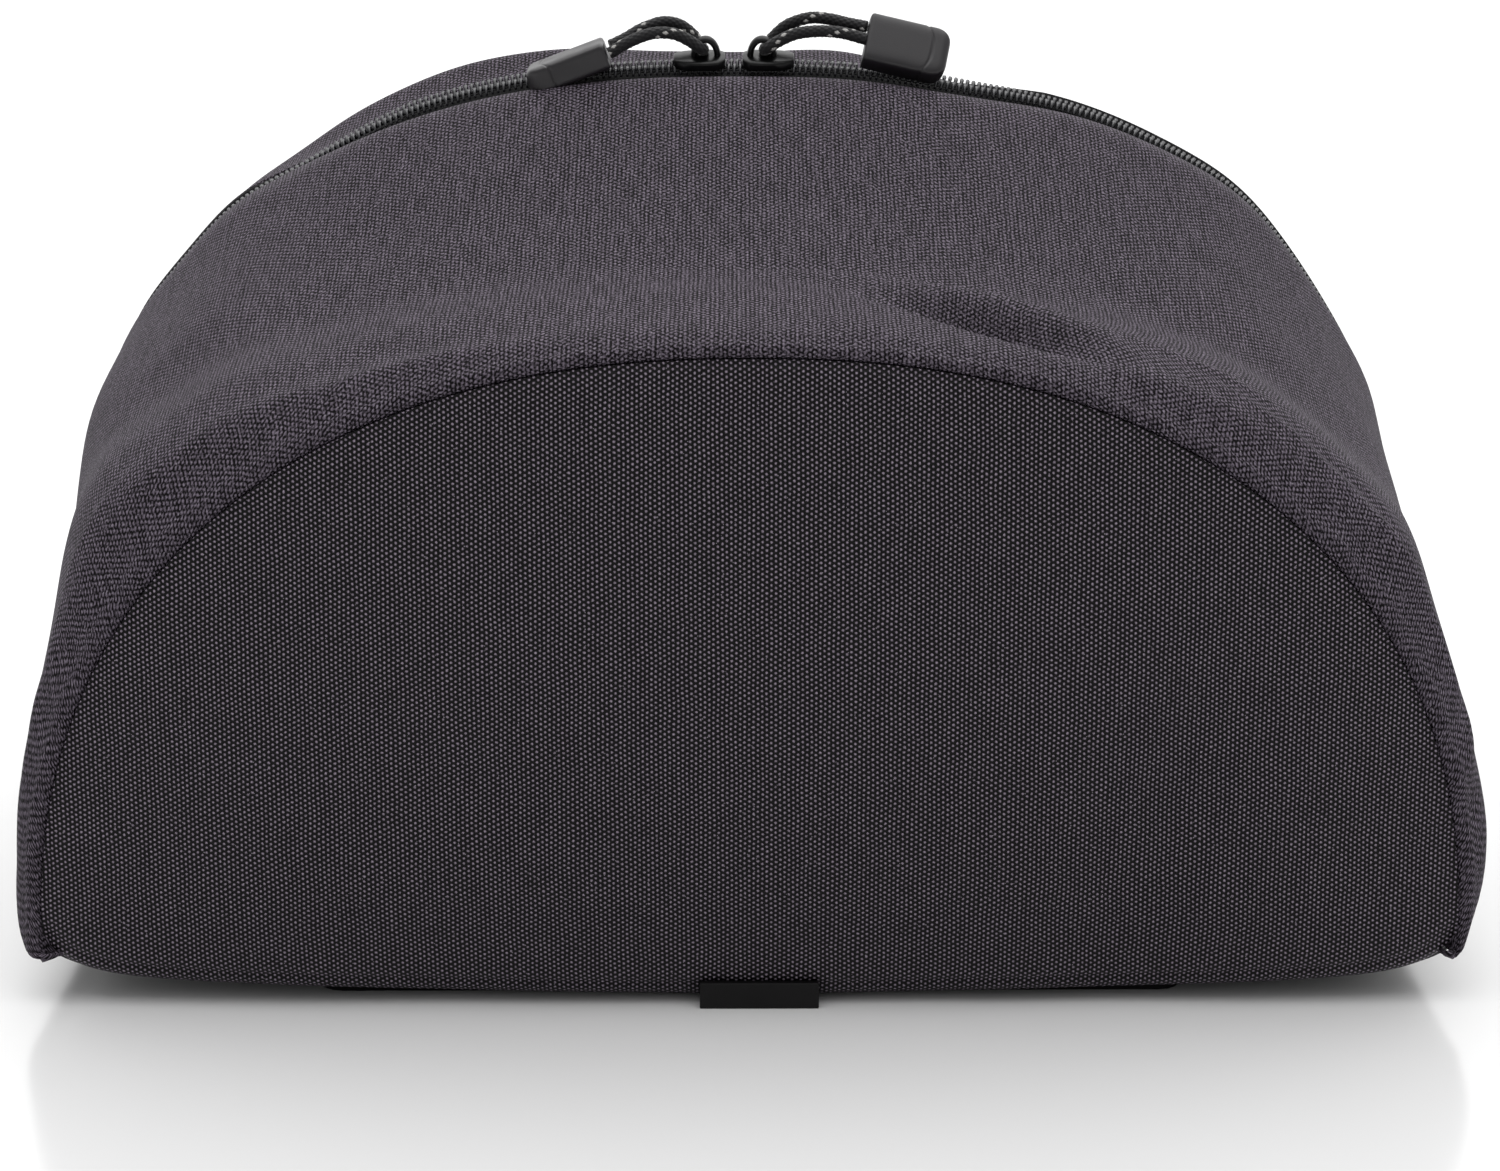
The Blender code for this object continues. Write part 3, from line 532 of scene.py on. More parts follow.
# The gussets are the same cloth as the panels. This copy's tones differ from theirs partly as painted light, for the
# lit top and sides of the bag
gusset_nylon = woven_cloth(
    "woven nylon over foam", "#080608", "#847a88", WEAVE_PITCH, 0.12 * MM, 0.60, 2.6, (0.34, 1.0), 0.5,
    Specular_IOR_Level=0.10,
)
print("weave: one yarn each", WEAVE_PITCH, "m")


# %% [markdown]
# ## Cloth as a grid
#
# A sewn wall is a sheet, so it starts as a grid of points with the thread directions as
# its UV map. Solidify then gives it the thickness of the laminate, inwards, with a
# closed rim.


# %% Sheets from grids
def add_piece(thing, slot_name, *nodes):
    """Puts a finished object on the body in place of its solids, which it hides. slot_name is not used."""
    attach(thing, "root")
    if nodes:
        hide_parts(*nodes)
    return thing


def add_mesh(name, points, faces, material, uv=None):
    mesh = bpy.data.meshes.new(name)
    mesh.from_pydata([tuple(point) for point in points], [], [list(face) for face in faces])
    if uv is not None:
        layer = mesh.uv_layers.new(name="weave")
        loops = np.concatenate([np.asarray(face) for face in faces])
        layer.data.foreach_set("uv", np.asarray(uv, np.float32)[loops].ravel())
    mesh.shade_smooth()
    mesh.materials.append(material)
    thing = bpy.data.objects.new(name, mesh)
    bpy.context.scene.collection.objects.link(thing)
    return thing


def grid_faces(rows, columns, closed=False):
    index = np.arange(rows * columns).reshape(rows, columns)
    if closed:
        index = np.concatenate([index, index[:, :1]], axis=1)
    corners = [index[:-1, :-1], index[:-1, 1:], index[1:, 1:], index[1:, :-1]]
    return np.stack(corners, axis=-1).reshape(-1, 4)


def add_sheet(name, grid, uv, material, thickness):
    rows, columns = grid.shape[:2]
    faces = grid_faces(rows, columns)
    thing = add_mesh(name, grid.reshape(-1, 3), faces, material, uv.reshape(-1, 2))
    wall = thing.modifiers.new("thickness", "SOLIDIFY")
    wall.thickness = thickness
    wall.offset = -1
    return thing


def thread_lengths(grid, axis):
    """Running length along the grid's rows (axis 0) or columns (axis 1)."""
    steps = np.linalg.norm(np.diff(grid, axis=axis), axis=-1)
    start = np.zeros_like(np.take(steps, [0], axis=axis))
    return np.concatenate([start, np.cumsum(steps, axis=axis)], axis=axis)


# %% [markdown]
# ## The gussets
#
# The two domed walls are one strip each, from the panel's seam to the zipper. At the
# seam the cloth turns outwards over the seam allowance in a soft roll, which shows from
# the front as a dark band above the panel. At the zipper and at the feet it is folded
# under. A lathe or a loft of a few curves would miss these edges, so the strip is a fine
# grid read from the tables, with extra rows that run round each rolled edge.

# %% Gusset shape
ROLL_DEPTH = 0.983
SEAM_ROLL = ((-0.60, 2.8), (-0.10, 2.2), (0.10, 1.1), (0.34, 0.35), (0.62, 0.30), (0.86, 0.85))
HEM_RADIUS = 0.7 * MM
FOOT_RADIUS = 1.6 * MM
FOOT_TRIM = 0.0078
HEM_LOWER = 1.5 * MM
HEM_STAND = 1.2 * MM
GUSSET_COLUMNS = 330
GUSSET_ROWS = 66


def smooth_between(rows, station):
    """Catmull-Rom curve through rows of numbers, read at a fractional row number."""
    here = int(station)
    share = station - here
    before, first, second, after = (rows[min(max(here + step, 0), len(rows) - 1)] for step in (-1, 0, 1, 2))
    return first + 0.5 * (
        (second - before) * share
        + (2 * before - 5 * first + 4 * second - after) * share**2
        + (3 * first - 3 * second + after - before) * share**3
    )


def smooth_step(value, start, end):
    share = np.clip((value - start) / (end - start), 0, 1)
    return share**2 * (3 - 2 * share)


def chain_lean(x):
    """1 where the zipper leans towards the front, 0 on both flanks of the bag."""
    return np.interp(x, np.array([-115, -85, 50, 105, 140, 160]) * MM, [0, 1, 0.95, 0.35, 0.15, 0])


def stands_up(x):
    """1 where the rear hem and its tape stand up beside the zipper, 0 over the middle."""
    return np.interp(x, np.array([-128, -108, 45, 75]) * MM, [1, 0, 0, 1])


def hem_press(side, depth, shares):
    """How far a hem and its tape lie below the table's surface beside the zipper. The
    front hem is pressed down over the middle, and the rear one stands up on both flanks."""
    x = arch(RIDGE, shares)[0]
    press = HEM_LOWER * chain_lean(x) if side < 0 else -HEM_STAND * stands_up(x)
    return press * max(0.0, 1 - abs(depth) / 0.06) ** 2


def gusset_grid(sections, folds, side, seed):
    """Grid of the gusset from the seam's roll to the hem's turned edge, and its UV."""
    shares = np.linspace(FOOT_TRIM, 1 - FOOT_TRIM, GUSSET_COLUMNS)
    depths = ROLL_DEPTH * (1 - np.linspace(0, 1, GUSSET_ROWS) ** 1.15)
    rows = []
    rises = []
    for depth in depths:
        rows.append(skin(sections, folds, side, shares, depth, -hem_press(side, depth, shares)))
        section = section_at(sections, depth)
        x, z, normal_x, normal_z, length = arch(section, shares)
        rises.append(np.stack([normal_x, 0 * normal_x, normal_z], axis=1))
    body = np.array(rows)
    normals = np.array(rises)
    lengths = np.array([arch(section_at(sections, depth), [0])[4] for depth in depths])

    # Waviness: gathered cloth near the seam, and a slack surface elsewhere
    along = (shares[None, :] - 0.5) * lengths[:, None]
    across = np.repeat(depths[:, None] * HALF_DEPTH, len(shares), axis=1)
    near_seam = np.exp(-(((ROLL_DEPTH - depths) / 0.07) ** 2))[:, None]
    fade = np.clip(depths / HEM_FADE, 0, 1)[:, None]
    gather = soft_waves(seed, 13 * MM, along, across * 0.3) * near_seam * 0.30 * MM
    slack = soft_waves(seed + 1, 42 * MM, along, across) * 0.22 * MM * fade
    body = body + normals * (gather + slack)[..., None]

    # Roll at the seam: from inside the panel's outline, round the front, to the body
    forward = np.array([0, side, 0.0])
    seam_x, seam_z = arch(SEAM, shares)[:2]
    outline = np.stack([seam_x, side * panel_plane(seam_z), seam_z], axis=1)
    reach = (body[0] - outline) * np.array([1, 0, 1])
    controls = [outline + reach * share - forward * back * MM for share, back in SEAM_ROLL]
    controls = np.array([*controls, body[0], body[1]])
    fine = np.linspace(0, len(controls) - 2, 19)[:-1]
    flat = controls.reshape(len(controls), -1)
    roll = [smooth_between(flat, station).reshape(-1, 3) for station in fine]
    hem = []
    for angle in np.radians((30, 60, 90, 130, 170)):
        down = normals[-1] * (-HEM_RADIUS * (1 - math.cos(angle)))
        hem.append(body[-1] + down - forward * HEM_RADIUS * math.sin(angle))
    grid = np.concatenate([np.array(roll), body, np.array(hem)])

    # Feet: each end of the strip curls under
    tangents = grid[:, 1] - grid[:, 0]
    tangents /= np.linalg.norm(tangents, axis=1)[:, None]
    tangents_end = grid[:, -2] - grid[:, -1]
    tangents_end /= np.linalg.norm(tangents_end, axis=1)[:, None]
    inwards = np.array([1.0, 0, 0])
    left = []
    right = []
    for angle in np.radians((170, 130, 90, 60, 30)):
        low = FOOT_RADIUS * math.sin(angle)
        inner = FOOT_RADIUS * (1 - math.cos(angle))
        left.append(grid[:, 0] - tangents * low + inwards * inner)
        right.append(grid[:, -1] - tangents_end * low - inwards * inner)
    grid = np.concatenate([np.stack(left, 1), grid, np.stack(right[::-1], 1)], axis=1)

    running = thread_lengths(grid, 1)
    middle = running[:, [grid.shape[1] // 2]]
    uv = np.stack([running - middle, -thread_lengths(grid, 0)], axis=-1)
    return grid, uv


# %% Gussets
for name, sections, folds, side, seed in (
    ("front_gusset", FRONT_SECTIONS, FRONT_FOLDS + FRONT_CREASES, -1, 11),
    ("rear_gusset", REAR_SECTIONS, REAR_FOLDS + REAR_CREASES, 1, 23),
):
    grid, uv = gusset_grid(sections, folds, side, seed)
    if side > 0:
        grid = grid[::-1]
        uv = uv[::-1]
    gusset = add_sheet(name + "_cloth", grid, uv, gusset_nylon, 0.8 * MM)
    add_piece(gusset, "gusset_nylon", name)
    print(gusset.name, "grid", grid.shape[:2])

# %% [markdown]
# ## The end panels
#
# Each panel is a flat half-round piece that the filling pushes out a little. Its cloth
# curves back before it meets the seam, which squeezes the weave into ribs there, and it
# is folded under along the bottom. The grid runs in rings from the panel's middle to its
# outline, and the distance of each point to the outline decides how far it curves back.

# %% Panel outline
OUTLINE_COLUMNS = 300
BOTTOM_COLUMNS = 120
PANEL_RINGS = 64


def hem_height(share):
    """World height of the bag's underside at a share of its half length."""
    share = np.minimum(np.abs(share), 1.0)
    return UNDERSIDE + CORNER_RISE * share**20 + HEM_SAG * share**5


def panel_low(share):
    """The panels' lower edge, which hangs a little below the floor in the middle."""
    return hem_height(share) - PANEL_HANG * (1 - np.minimum(np.abs(share), 1.0) ** 1.36)


def panel_outline():
    """Arch of the panel from left to right, and its bottom from right to left."""
    corner = float(hem_height(1.0))
    shares = np.linspace(0, 0.5, 2000)
    start = float(np.interp(corner, arch(SEAM, shares)[1], shares))
    x, z = arch(SEAM, np.linspace(start, 1 - start, OUTLINE_COLUMNS))[:2]
    bottom = np.sin(np.linspace(1, -1, BOTTOM_COLUMNS + 2)[1:-1] * math.pi / 2)
    return (x, z), (bottom * x[-1], panel_low(bottom))


def distance_to(line_x, line_z, x, z):
    """Distance of each point to a polyline's points."""
    return np.sqrt(((x[:, None] - line_x) ** 2 + (z[:, None] - line_z) ** 2).min(axis=1))


# %% Panels
EDGE_WIDTH = 6 * MM
EDGE_DROP = 1.3 * MM
UNDER_RADIUS = 6.5 * MM
WEAVE_SKEW = 0.037
STITCH_HEIGHT = 4.5 * MM
PANEL_HANG = 3.9 * MM
(arch_x, arch_z), (low_x, low_z) = panel_outline()
outline_x = np.concatenate([arch_x, low_x])
outline_z = np.concatenate([arch_z, low_z])
middle_z = UNDERSIDE + PANEL_HEIGHT * 0.35
fine_low = np.linspace(-1, 1, 3600)

for name, side in (("front_panel", -1), ("rear_panel", 1)):
    shares = 1 - (1 - np.linspace(0.01, 1, PANEL_RINGS)) ** 1.7
    rings = []
    for share in shares:
        x = outline_x * share
        z = middle_z + (outline_z - middle_z) * share
        seam_far = distance_to(arch_x, arch_z, x, z)
        low_far = distance_to(fine_low * arch_x[-1], panel_low(fine_low), x, z)
        drop = EDGE_DROP * np.clip(1 - seam_far / EDGE_WIDTH, 0, 1) ** 2
        drop -= 0.60 * MM * np.exp(-((seam_far / (0.5 * MM)) ** 2))
        drop -= 0.35 * MM * np.exp(-(((seam_far - 2.2 * MM) / (0.6 * MM)) ** 2))
        near = np.clip(1 - low_far / UNDER_RADIUS, 0, 0.97)
        drop += UNDER_RADIUS * (1 - np.sqrt(1 - near**2))
        drop += 0.9 * MM * np.exp(-(((low_far - STITCH_HEIGHT) / (1.0 * MM)) ** 2))
        wave = soft_waves(31 + side, 60 * MM, x, z) * 0.25 * MM * np.clip(seam_far / (12 * MM), 0, 1)
        wave -= 2.2 * MM * np.exp(-(((x - 0.35 * (z - middle_z) - 98 * MM) / (17 * MM)) ** 2) - ((z - 48 * MM) / (36 * MM)) ** 2)
        bulge = PANEL_BULGE * (1 - share**2)
        y = panel_plane(z) + bulge - drop + wave
        rings.append(np.stack([x, side * y, z], axis=1))
    points = np.array(rings)
    uv = np.stack([points[..., 0], points[..., 2] + WEAVE_SKEW * points[..., 0]], axis=-1)
    faces = [list(face) for face in grid_faces(*points.shape[:2], closed=True)]
    count = points.shape[1]
    middle_point = points[0].mean(axis=0)
    all_points = np.concatenate([points.reshape(-1, 3), [middle_point]])
    all_uv = np.concatenate([uv.reshape(-1, 2), [[middle_point[0], middle_point[2] + WEAVE_SKEW * middle_point[0]]]])
    last = len(all_points) - 1
    faces += [[last, (column + 1) % count, column] for column in range(count)]
    if side < 0:
        faces = [face[::-1] for face in faces]
    faces = [face[::-1] for face in faces]
    panel = add_mesh(name + "_cloth", all_points, faces, panel_nylon, all_uv)
    wall = panel.modifiers.new("thickness", "SOLIDIFY")
    wall.thickness = 1.4 * MM
    wall.offset = -1
    add_piece(panel, "panel_nylon", name)
    print(panel.name, len(all_points), "points")

# %% [markdown]
# ## The floor of the bag
#
# The bag stands on a stiff board wrapped in coated nylon. Its cloth shows only from
# below and at the feet, so a finely divided slab with the same turned-up ends as the
# solid is enough, and its coating gives it a tighter, shinier weave.

# %% Floor
FLOOR_HALF_LENGTH = 165.5 * MM
FLOOR_HALF_DEPTH = 113.5 * MM
FLOOR_WALL = 3.6 * MM

floor_nylon = woven_cloth(
    "coated nylon of the bag's floor", "#0a0a0b", "#2c2c30", (0.7 * MM, 0.7 * MM), 0.04 * MM, 0.42, 0.3, (0.4, 0.95),
    Specular_IOR_Level=0.4,
)
floor_x, floor_y = np.meshgrid(
    np.sin(np.linspace(-1, 1, 121) * math.pi / 2) * FLOOR_HALF_LENGTH,
    np.linspace(FLOOR_HALF_DEPTH, -FLOOR_HALF_DEPTH, 61),
)
floor_z = hem_height(floor_x / FLOOR_HALF_LENGTH) + 0.1 * MM
floor_grid = np.stack([floor_x, floor_y, floor_z], axis=-1)
floor_cloth = add_sheet("floor_cloth", floor_grid, floor_grid[..., :2], floor_nylon, FLOOR_WALL)
add_piece(floor_cloth, "floor_nylon", "floor_panel")
print(floor_cloth.name, floor_grid.shape[:2])

# %% [markdown]
# ## Zipper tape and end strips
#
# Beside the coil lies a few millimetres of woven tape, deeper than the hemmed cloth, so
# it reads as a dark slot. Zipper tape is a fine twill with ribs along its length. Below
# each end of the zipper a plain strip of the same tape closes the bag down to the floor.

# %% Tape material and places
tape_twill = woven_cloth(
    "polyester zipper tape", "#060607", "#202023", (0.45 * MM, 0.35 * MM), 0.05 * MM, 0.75, 0.2, (0.4, 0.95),
    Specular_IOR_Level=0.2,
)
ridge_shares = np.linspace(0, 1, 4000)
ridge_z = arch(RIDGE, ridge_shares)[1]
ZIP_SHARE = float(np.interp(UNDERSIDE + ZIP_START, ridge_z[:1500], ridge_shares[:1500])) - 0.003


def strip_depth(distance):
    """Depth share, below 0, of a line in the slot at this distance from its middle."""
    return (distance - hem_edge()) / (HALF_DEPTH - hem_edge())


print("the zipper starts at share", round(ZIP_SHARE, 4))

# %% Tapes and strips
TAPE_DROP = HEM_CLOTH + GAP
CHAIN_LEAN = math.radians(18)
COIL_RAISE = 0.8 * MM
FLANK_SINK = 0.8 * MM
TAPE_STAND = 2.6 * MM


def tape_lift(side, depth, shares):
    """Outward offset of a tape: under the pressed hem, then up to the leaning chain."""
    under_hem = -TAPE_DROP - hem_press(side, depth, shares)
    across = hem_edge() + depth * (HALF_DEPTH - hem_edge())
    inwards = smooth_step(across, hem_edge(), COIL_HALF)
    lean = chain_lean(arch(RIDGE, shares)[0])
    under_chain = COIL_RAISE - 1.3 * MM + side * across * math.tan(CHAIN_LEAN)
    lift = under_hem + (under_chain - under_hem) * inwards * lean - FLANK_SINK * inwards * (1 - lean)
    if side > 0:
        ridge = math.exp(-(((across - 4.5 * MM) / (1.1 * MM)) ** 2))
        lift = lift + TAPE_STAND * ridge * stands_up(arch(RIDGE, shares)[0])
    return lift


for name, sections, side in (("front", FRONT_SECTIONS, -1), ("rear", REAR_SECTIONS, 1)):
    shares = np.linspace(ZIP_SHARE, 1 - ZIP_SHARE, 480)
    depths = np.concatenate([np.linspace(TAPE_REACH, 0, 6), np.linspace(0, strip_depth(GAP / 2), 9)[1:]])
    grid = np.array([skin(sections, (), side, shares, depth, tape_lift(side, depth, shares)) for depth in depths])
    uv = np.stack([-thread_lengths(grid, 0), thread_lengths(grid, 1)], axis=-1)
    if side > 0:
        grid = grid[::-1]
        uv = uv[::-1]
    tape = add_sheet("zipper_tape_" + name + "_cloth", grid, uv, tape_twill, TAPE)
    add_piece(tape, "zipper_tape", "zipper_tape_" + name)

for name, direction in (("left", -1), ("right", 1)):
    shares = np.linspace(0.8 * FOOT_TRIM, ZIP_SHARE - 0.0008, 36)
    if direction > 0:
        shares = 1 - shares
    depths = np.concatenate([np.linspace(TAPE_REACH, 0, 6), np.linspace(0, strip_depth(0), 8)[1:]])
    front = [skin(FRONT_SECTIONS, (), -1, shares, depth, -TAPE_DROP) for depth in depths]
    rear = [skin(REAR_SECTIONS, (), 1, shares, depth, -TAPE_DROP) for depth in depths[::-1][1:]]
    grid = np.array(front + rear)
    uv = np.stack([thread_lengths(grid, 0), thread_lengths(grid, 1)], axis=-1)
    if direction > 0:
        grid = grid[::-1]
        uv = uv[::-1]
    strip = add_sheet("end_strip_" + name + "_cloth", grid, uv, tape_twill, TAPE)
    add_piece(strip, "zipper_tape", "end_strip_" + name)
print("tapes and strips in place")

# %% [markdown]
# ## The zipper's coil
#
# A coil zipper is one nylon thread wound into a flat spring on each tape, and the two
# springs mesh. From above each turn shows as a short glossy bar with a bright spot, in
# two rows with a dark line between. One pair of bars is modelled, and Geometry Nodes
# sets it on every pitch of the ridge line, turned along it. The pitch, 1.5 mm, was
# counted on the photograph. The filled bag pushes its rear half up, so over the middle
# the chain leans towards the front and shows both rows from there.


# %% A tube along points, for teeth, stitches and eyes
def tube(line, radius, sides, closed=False):
    """Points and faces of a closed tube along a line. radius may be one value or one
    for each point."""
    line = np.asarray(line, float)
    count = len(line)
    radius = np.broadcast_to(radius, count)
    if closed:
        ahead = np.roll(line, -1, 0) - np.roll(line, 1, 0)
    else:
        ahead = np.gradient(line, axis=0)
    ahead /= np.linalg.norm(ahead, axis=1)[:, None]
    side = np.cross(ahead[0], (0.0, 0.0, 1.0) if abs(ahead[0][2]) < 0.9 else (0.0, 1.0, 0.0))
    points = []
    for step in range(count):
        side = side - ahead[step] * side.dot(ahead[step])
        side /= np.linalg.norm(side)
        third = np.cross(ahead[step], side)
        for corner in range(sides):
            angle = 2 * math.pi * corner / sides
            points.append(line[step] + radius[step] * (side * math.cos(angle) + third * math.sin(angle)))
    faces = []
    for step in range(count if closed else count - 1):
        for corner in range(sides):
            after = (corner + 1) % sides
            low = step * sides
            high = ((step + 1) % count) * sides
            faces.append([low + corner, low + after, high + after, high + corner])
    if not closed:
        faces.append(list(range(sides))[::-1])
        faces.append([(count - 1) * sides + corner for corner in range(sides)])
    return np.array(points), faces


def join_shapes(shapes):
    """One list of points and faces from several."""
    points = []
    faces = []
    for shape_points, shape_faces in shapes:
        shift = sum(len(part) for part in points)
        points.append(np.asarray(shape_points))
        faces += [[index + shift for index in face] for face in shape_faces]
    return np.concatenate(points), faces


def mesh_only(name, shape, material):
    """Mesh without an object in the scene, to be repeated."""
    points, faces = shape
    mesh = bpy.data.meshes.new(name)
    mesh.from_pydata([tuple(point) for point in points], [], faces)
    work = bmesh.new()
    work.from_mesh(mesh)
    bmesh.ops.recalc_face_normals(work, faces=work.faces)
    work.to_mesh(mesh)
    work.free()
    mesh.shade_smooth()
    mesh.materials.append(material)
    return mesh


# %% Repeating a shape along a line
def repeat_along(name, line, shape, pitch, material, turn_about=(0, 1, 0), cyclic=False):
    """Sets the shape on every pitch of the line with Geometry Nodes, its X along the line,
    and returns the plain mesh object."""
    curve = bpy.data.curves.new(name + "_line", "CURVE")
    curve.dimensions = "3D"
    spline = curve.splines.new("POLY")
    spline.points.add(len(line) - 1)
    for target, point in zip(spline.points, line):
        target.co = (*point, 1)
    spline.use_cyclic_u = cyclic
    carrier = bpy.data.objects.new(name + "_line", curve)
    bpy.context.scene.collection.objects.link(carrier)
    unit = bpy.data.objects.new(name + "_unit", mesh_only(name + "_unit", shape, material))
    bpy.context.scene.collection.objects.link(unit)

    tree = bpy.data.node_groups.new(name + " along a line", "GeometryNodeTree")
    tree.interface.new_socket("Geometry", in_out="INPUT", socket_type="NodeSocketGeometry")
    pitch_socket = tree.interface.new_socket("Pitch", in_out="INPUT", socket_type="NodeSocketFloat")
    unit_socket = tree.interface.new_socket("Unit", in_out="INPUT", socket_type="NodeSocketObject")
    cross_socket = tree.interface.new_socket("Across", in_out="INPUT", socket_type="NodeSocketVector")
    tree.interface.new_socket("Geometry", in_out="OUTPUT", socket_type="NodeSocketGeometry")
    source = add_node(tree, "NodeGroupInput").outputs
    spaced = add_node(
        tree, "GeometryNodeResampleCurve", {"Curve": source["Geometry"], "Length": source["Pitch"]}, mode="LENGTH"
    )
    ahead = add_node(tree, "GeometryNodeInputTangent")
    turned = add_node(
        tree, "FunctionNodeAxesToRotation",
        {"Primary Axis": ahead.outputs[0], "Secondary Axis": source["Across"]},
        primary_axis="X", secondary_axis="Y",
    )
    shown = add_node(tree, "GeometryNodeObjectInfo", {"Object": source["Unit"]})
    placed = add_node(
        tree, "GeometryNodeInstanceOnPoints",
        {"Points": spaced.outputs[0], "Instance": shown.outputs["Geometry"], "Rotation": turned.outputs[0]},
    )
    real = add_node(tree, "GeometryNodeRealizeInstances", {"Geometry": placed.outputs[0]})
    painted = add_node(tree, "GeometryNodeSetMaterial", {"Geometry": real.outputs[0]}, {"Material": material})
    add_node(tree, "NodeGroupOutput", {"Geometry": painted.outputs[0]})

    repeat = carrier.modifiers.new("repeat", "NODES")
    repeat.node_group = tree
    repeat[pitch_socket.identifier] = pitch
    repeat[unit_socket.identifier] = unit
    repeat[cross_socket.identifier] = turn_about
    evaluated = carrier.evaluated_get(bpy.context.evaluated_depsgraph_get())
    mesh = bpy.data.meshes.new_from_object(evaluated)
    mesh.name = name
    thing = bpy.data.objects.new(name, mesh)
    bpy.context.scene.collection.objects.link(thing)
    for helper in (carrier, unit):
        bpy.data.objects.remove(helper)
    print(name, len(mesh.polygons), "faces")
    return thing


# %% Coil
COIL_PITCH = 1.5 * MM
coil_nylon, tree, shader = new_material("nylon monofilament", "#2b2b2f", 0.22, IOR=1.53, Specular_IOR_Level=0.8)
TOOTH = ((2.85, -0.9), (2.65, -0.1), (2.2, 0.50), (1.55, 0.75), (0.95, 0.40), (0.4, -0.3), (-0.1, -0.6))
TOOTH_THICKNESS = np.array((0.30, 0.34, 0.44, 0.56, 0.46, 0.34, 0.30)) * MM
turns = []
for side in (-1, 1):
    line = [(side * (0.25 * COIL_PITCH + 0.10 * MM * (across - 1.7)), side * across * MM, up * MM) for across, up in TOOTH]
    turns.append(tube(line, TOOTH_THICKNESS, 6))
shares = np.linspace(ZIP_SHARE, 1 - ZIP_SHARE, 900)
x, z, normal_x, normal_z, _ = arch(RIDGE, shares)
coil_line = np.stack([x, 0 * x, z], axis=1)
coil = repeat_along("zipper_coil_turns", coil_line, join_shapes(turns), COIL_PITCH, coil_nylon)

places = np.empty(len(coil.data.vertices) * 3)
coil.data.vertices.foreach_get("co", places)
places = places.reshape(-1, 3)
lean = chain_lean(places[:, 0])
lift = lean * (COIL_RAISE + places[:, 1] * math.tan(CHAIN_LEAN)) - (1 - lean) * FLANK_SINK
places[:, 0] += lift * np.interp(places[:, 0], x, normal_x)
places[:, 2] += lift * np.interp(places[:, 0], x, normal_z)
coil.data.vertices.foreach_set("co", places.ravel())
coil.data.update()
add_piece(coil, "coil_nylon", "zipper_coil")

# %% [markdown]
# ## Frames on the ridge
#
# Sliders and cords sit on the coil wherever the zipper curves, so their shapes are drawn
# flat, with X along the zipper and Z away from it, and a matrix puts them on the ridge.


# %% Ridge frame
def ridge_frame(x):
    """World matrix on top of the coil at x, with its own X along the zipper."""
    shares = np.linspace(0, 1, 600)
    arch_x, arch_z, normal_x, normal_z, _ = arch(RIDGE, shares)
    up = Vector((float(np.interp(x, arch_x, normal_x)), 0.0, float(np.interp(x, arch_x, normal_z))))
    up.normalize()
    along = Vector((up.z, 0.0, -up.x))
    origin = Vector((x, 0.0, float(np.interp(x, arch_x, arch_z)))) + up * COIL_PROUD
    frame = Matrix.Identity(4)
    frame.col[0] = (*along, 0.0)
    frame.col[2] = (*up, 0.0)
    frame.col[3] = (*origin, 1.0)
    return frame


def placed(matrix, points):
    return [tuple(matrix @ Vector(point)) for point in points]


def add_solid(name, points, faces, material, round_angle=35):
    """Closed mesh with outward faces, smooth where its faces meet gently."""
    thing = add_mesh(name, points, faces, material)
    work = bmesh.new()
    work.from_mesh(thing.data)
    bmesh.ops.recalc_face_normals(work, faces=work.faces)
    work.to_mesh(thing.data)
    work.free()
    thing.data.set_sharp_from_angle(angle=math.radians(round_angle))
    return thing


SLIDER_X = {"left": -12.4 * MM, "right": 5 * MM}
print("left slider at", [round(value, 4) for value in ridge_frame(SLIDER_X["left"]).translation])

# %% [markdown]
# ## Sliders
#
# Each slider is a die-cast shell over the coil, waisted towards the closed side, with an
# upright eye that the cord passes through. Enamel on zinc is smooth and glossy black,
# and its edges stay round, so the plate is lofted with rounded sides and the eye is a
# tube along an arch.

# %% Slider shapes
SLIDER_LENGTH = 13 * MM
SLIDER_PLATE = 1.1 * MM
SLIDER_DROP = 1.1 * MM
SLIDER_PLAN = ((-0.5, 2.4), (-0.46, 3.4), (-0.36, 4.5), (-0.15, 4.8), (0.1, 4.6), (0.3, 4.1), (0.44, 3.2), (0.5, 2.2))
EYE_SHIFT = 1.6 * MM
EYE_HALF = 3.0 * MM
EYE_HEIGHT = 4.5 * MM
EYE_WIRE = 0.84 * MM

enamel, tree, shader = new_material("black enamel on die-cast zinc", "#050506", 0.30, IOR=1.45, Specular_IOR_Level=0.35)
coordinate = add_node(tree, "ShaderNodeTexCoord")
orange_peel = add_node(tree, "ShaderNodeTexNoise", {"Vector": coordinate.outputs["Object"]}, {"Scale": 900, "Detail": 1})
bump = add_node(tree, "ShaderNodeBump", {"Height": orange_peel.outputs["Fac"]}, {"Distance": 0.02 * MM, "Strength": 0.6})
tree.links.new(bump.outputs[0], shader.inputs["Normal"])

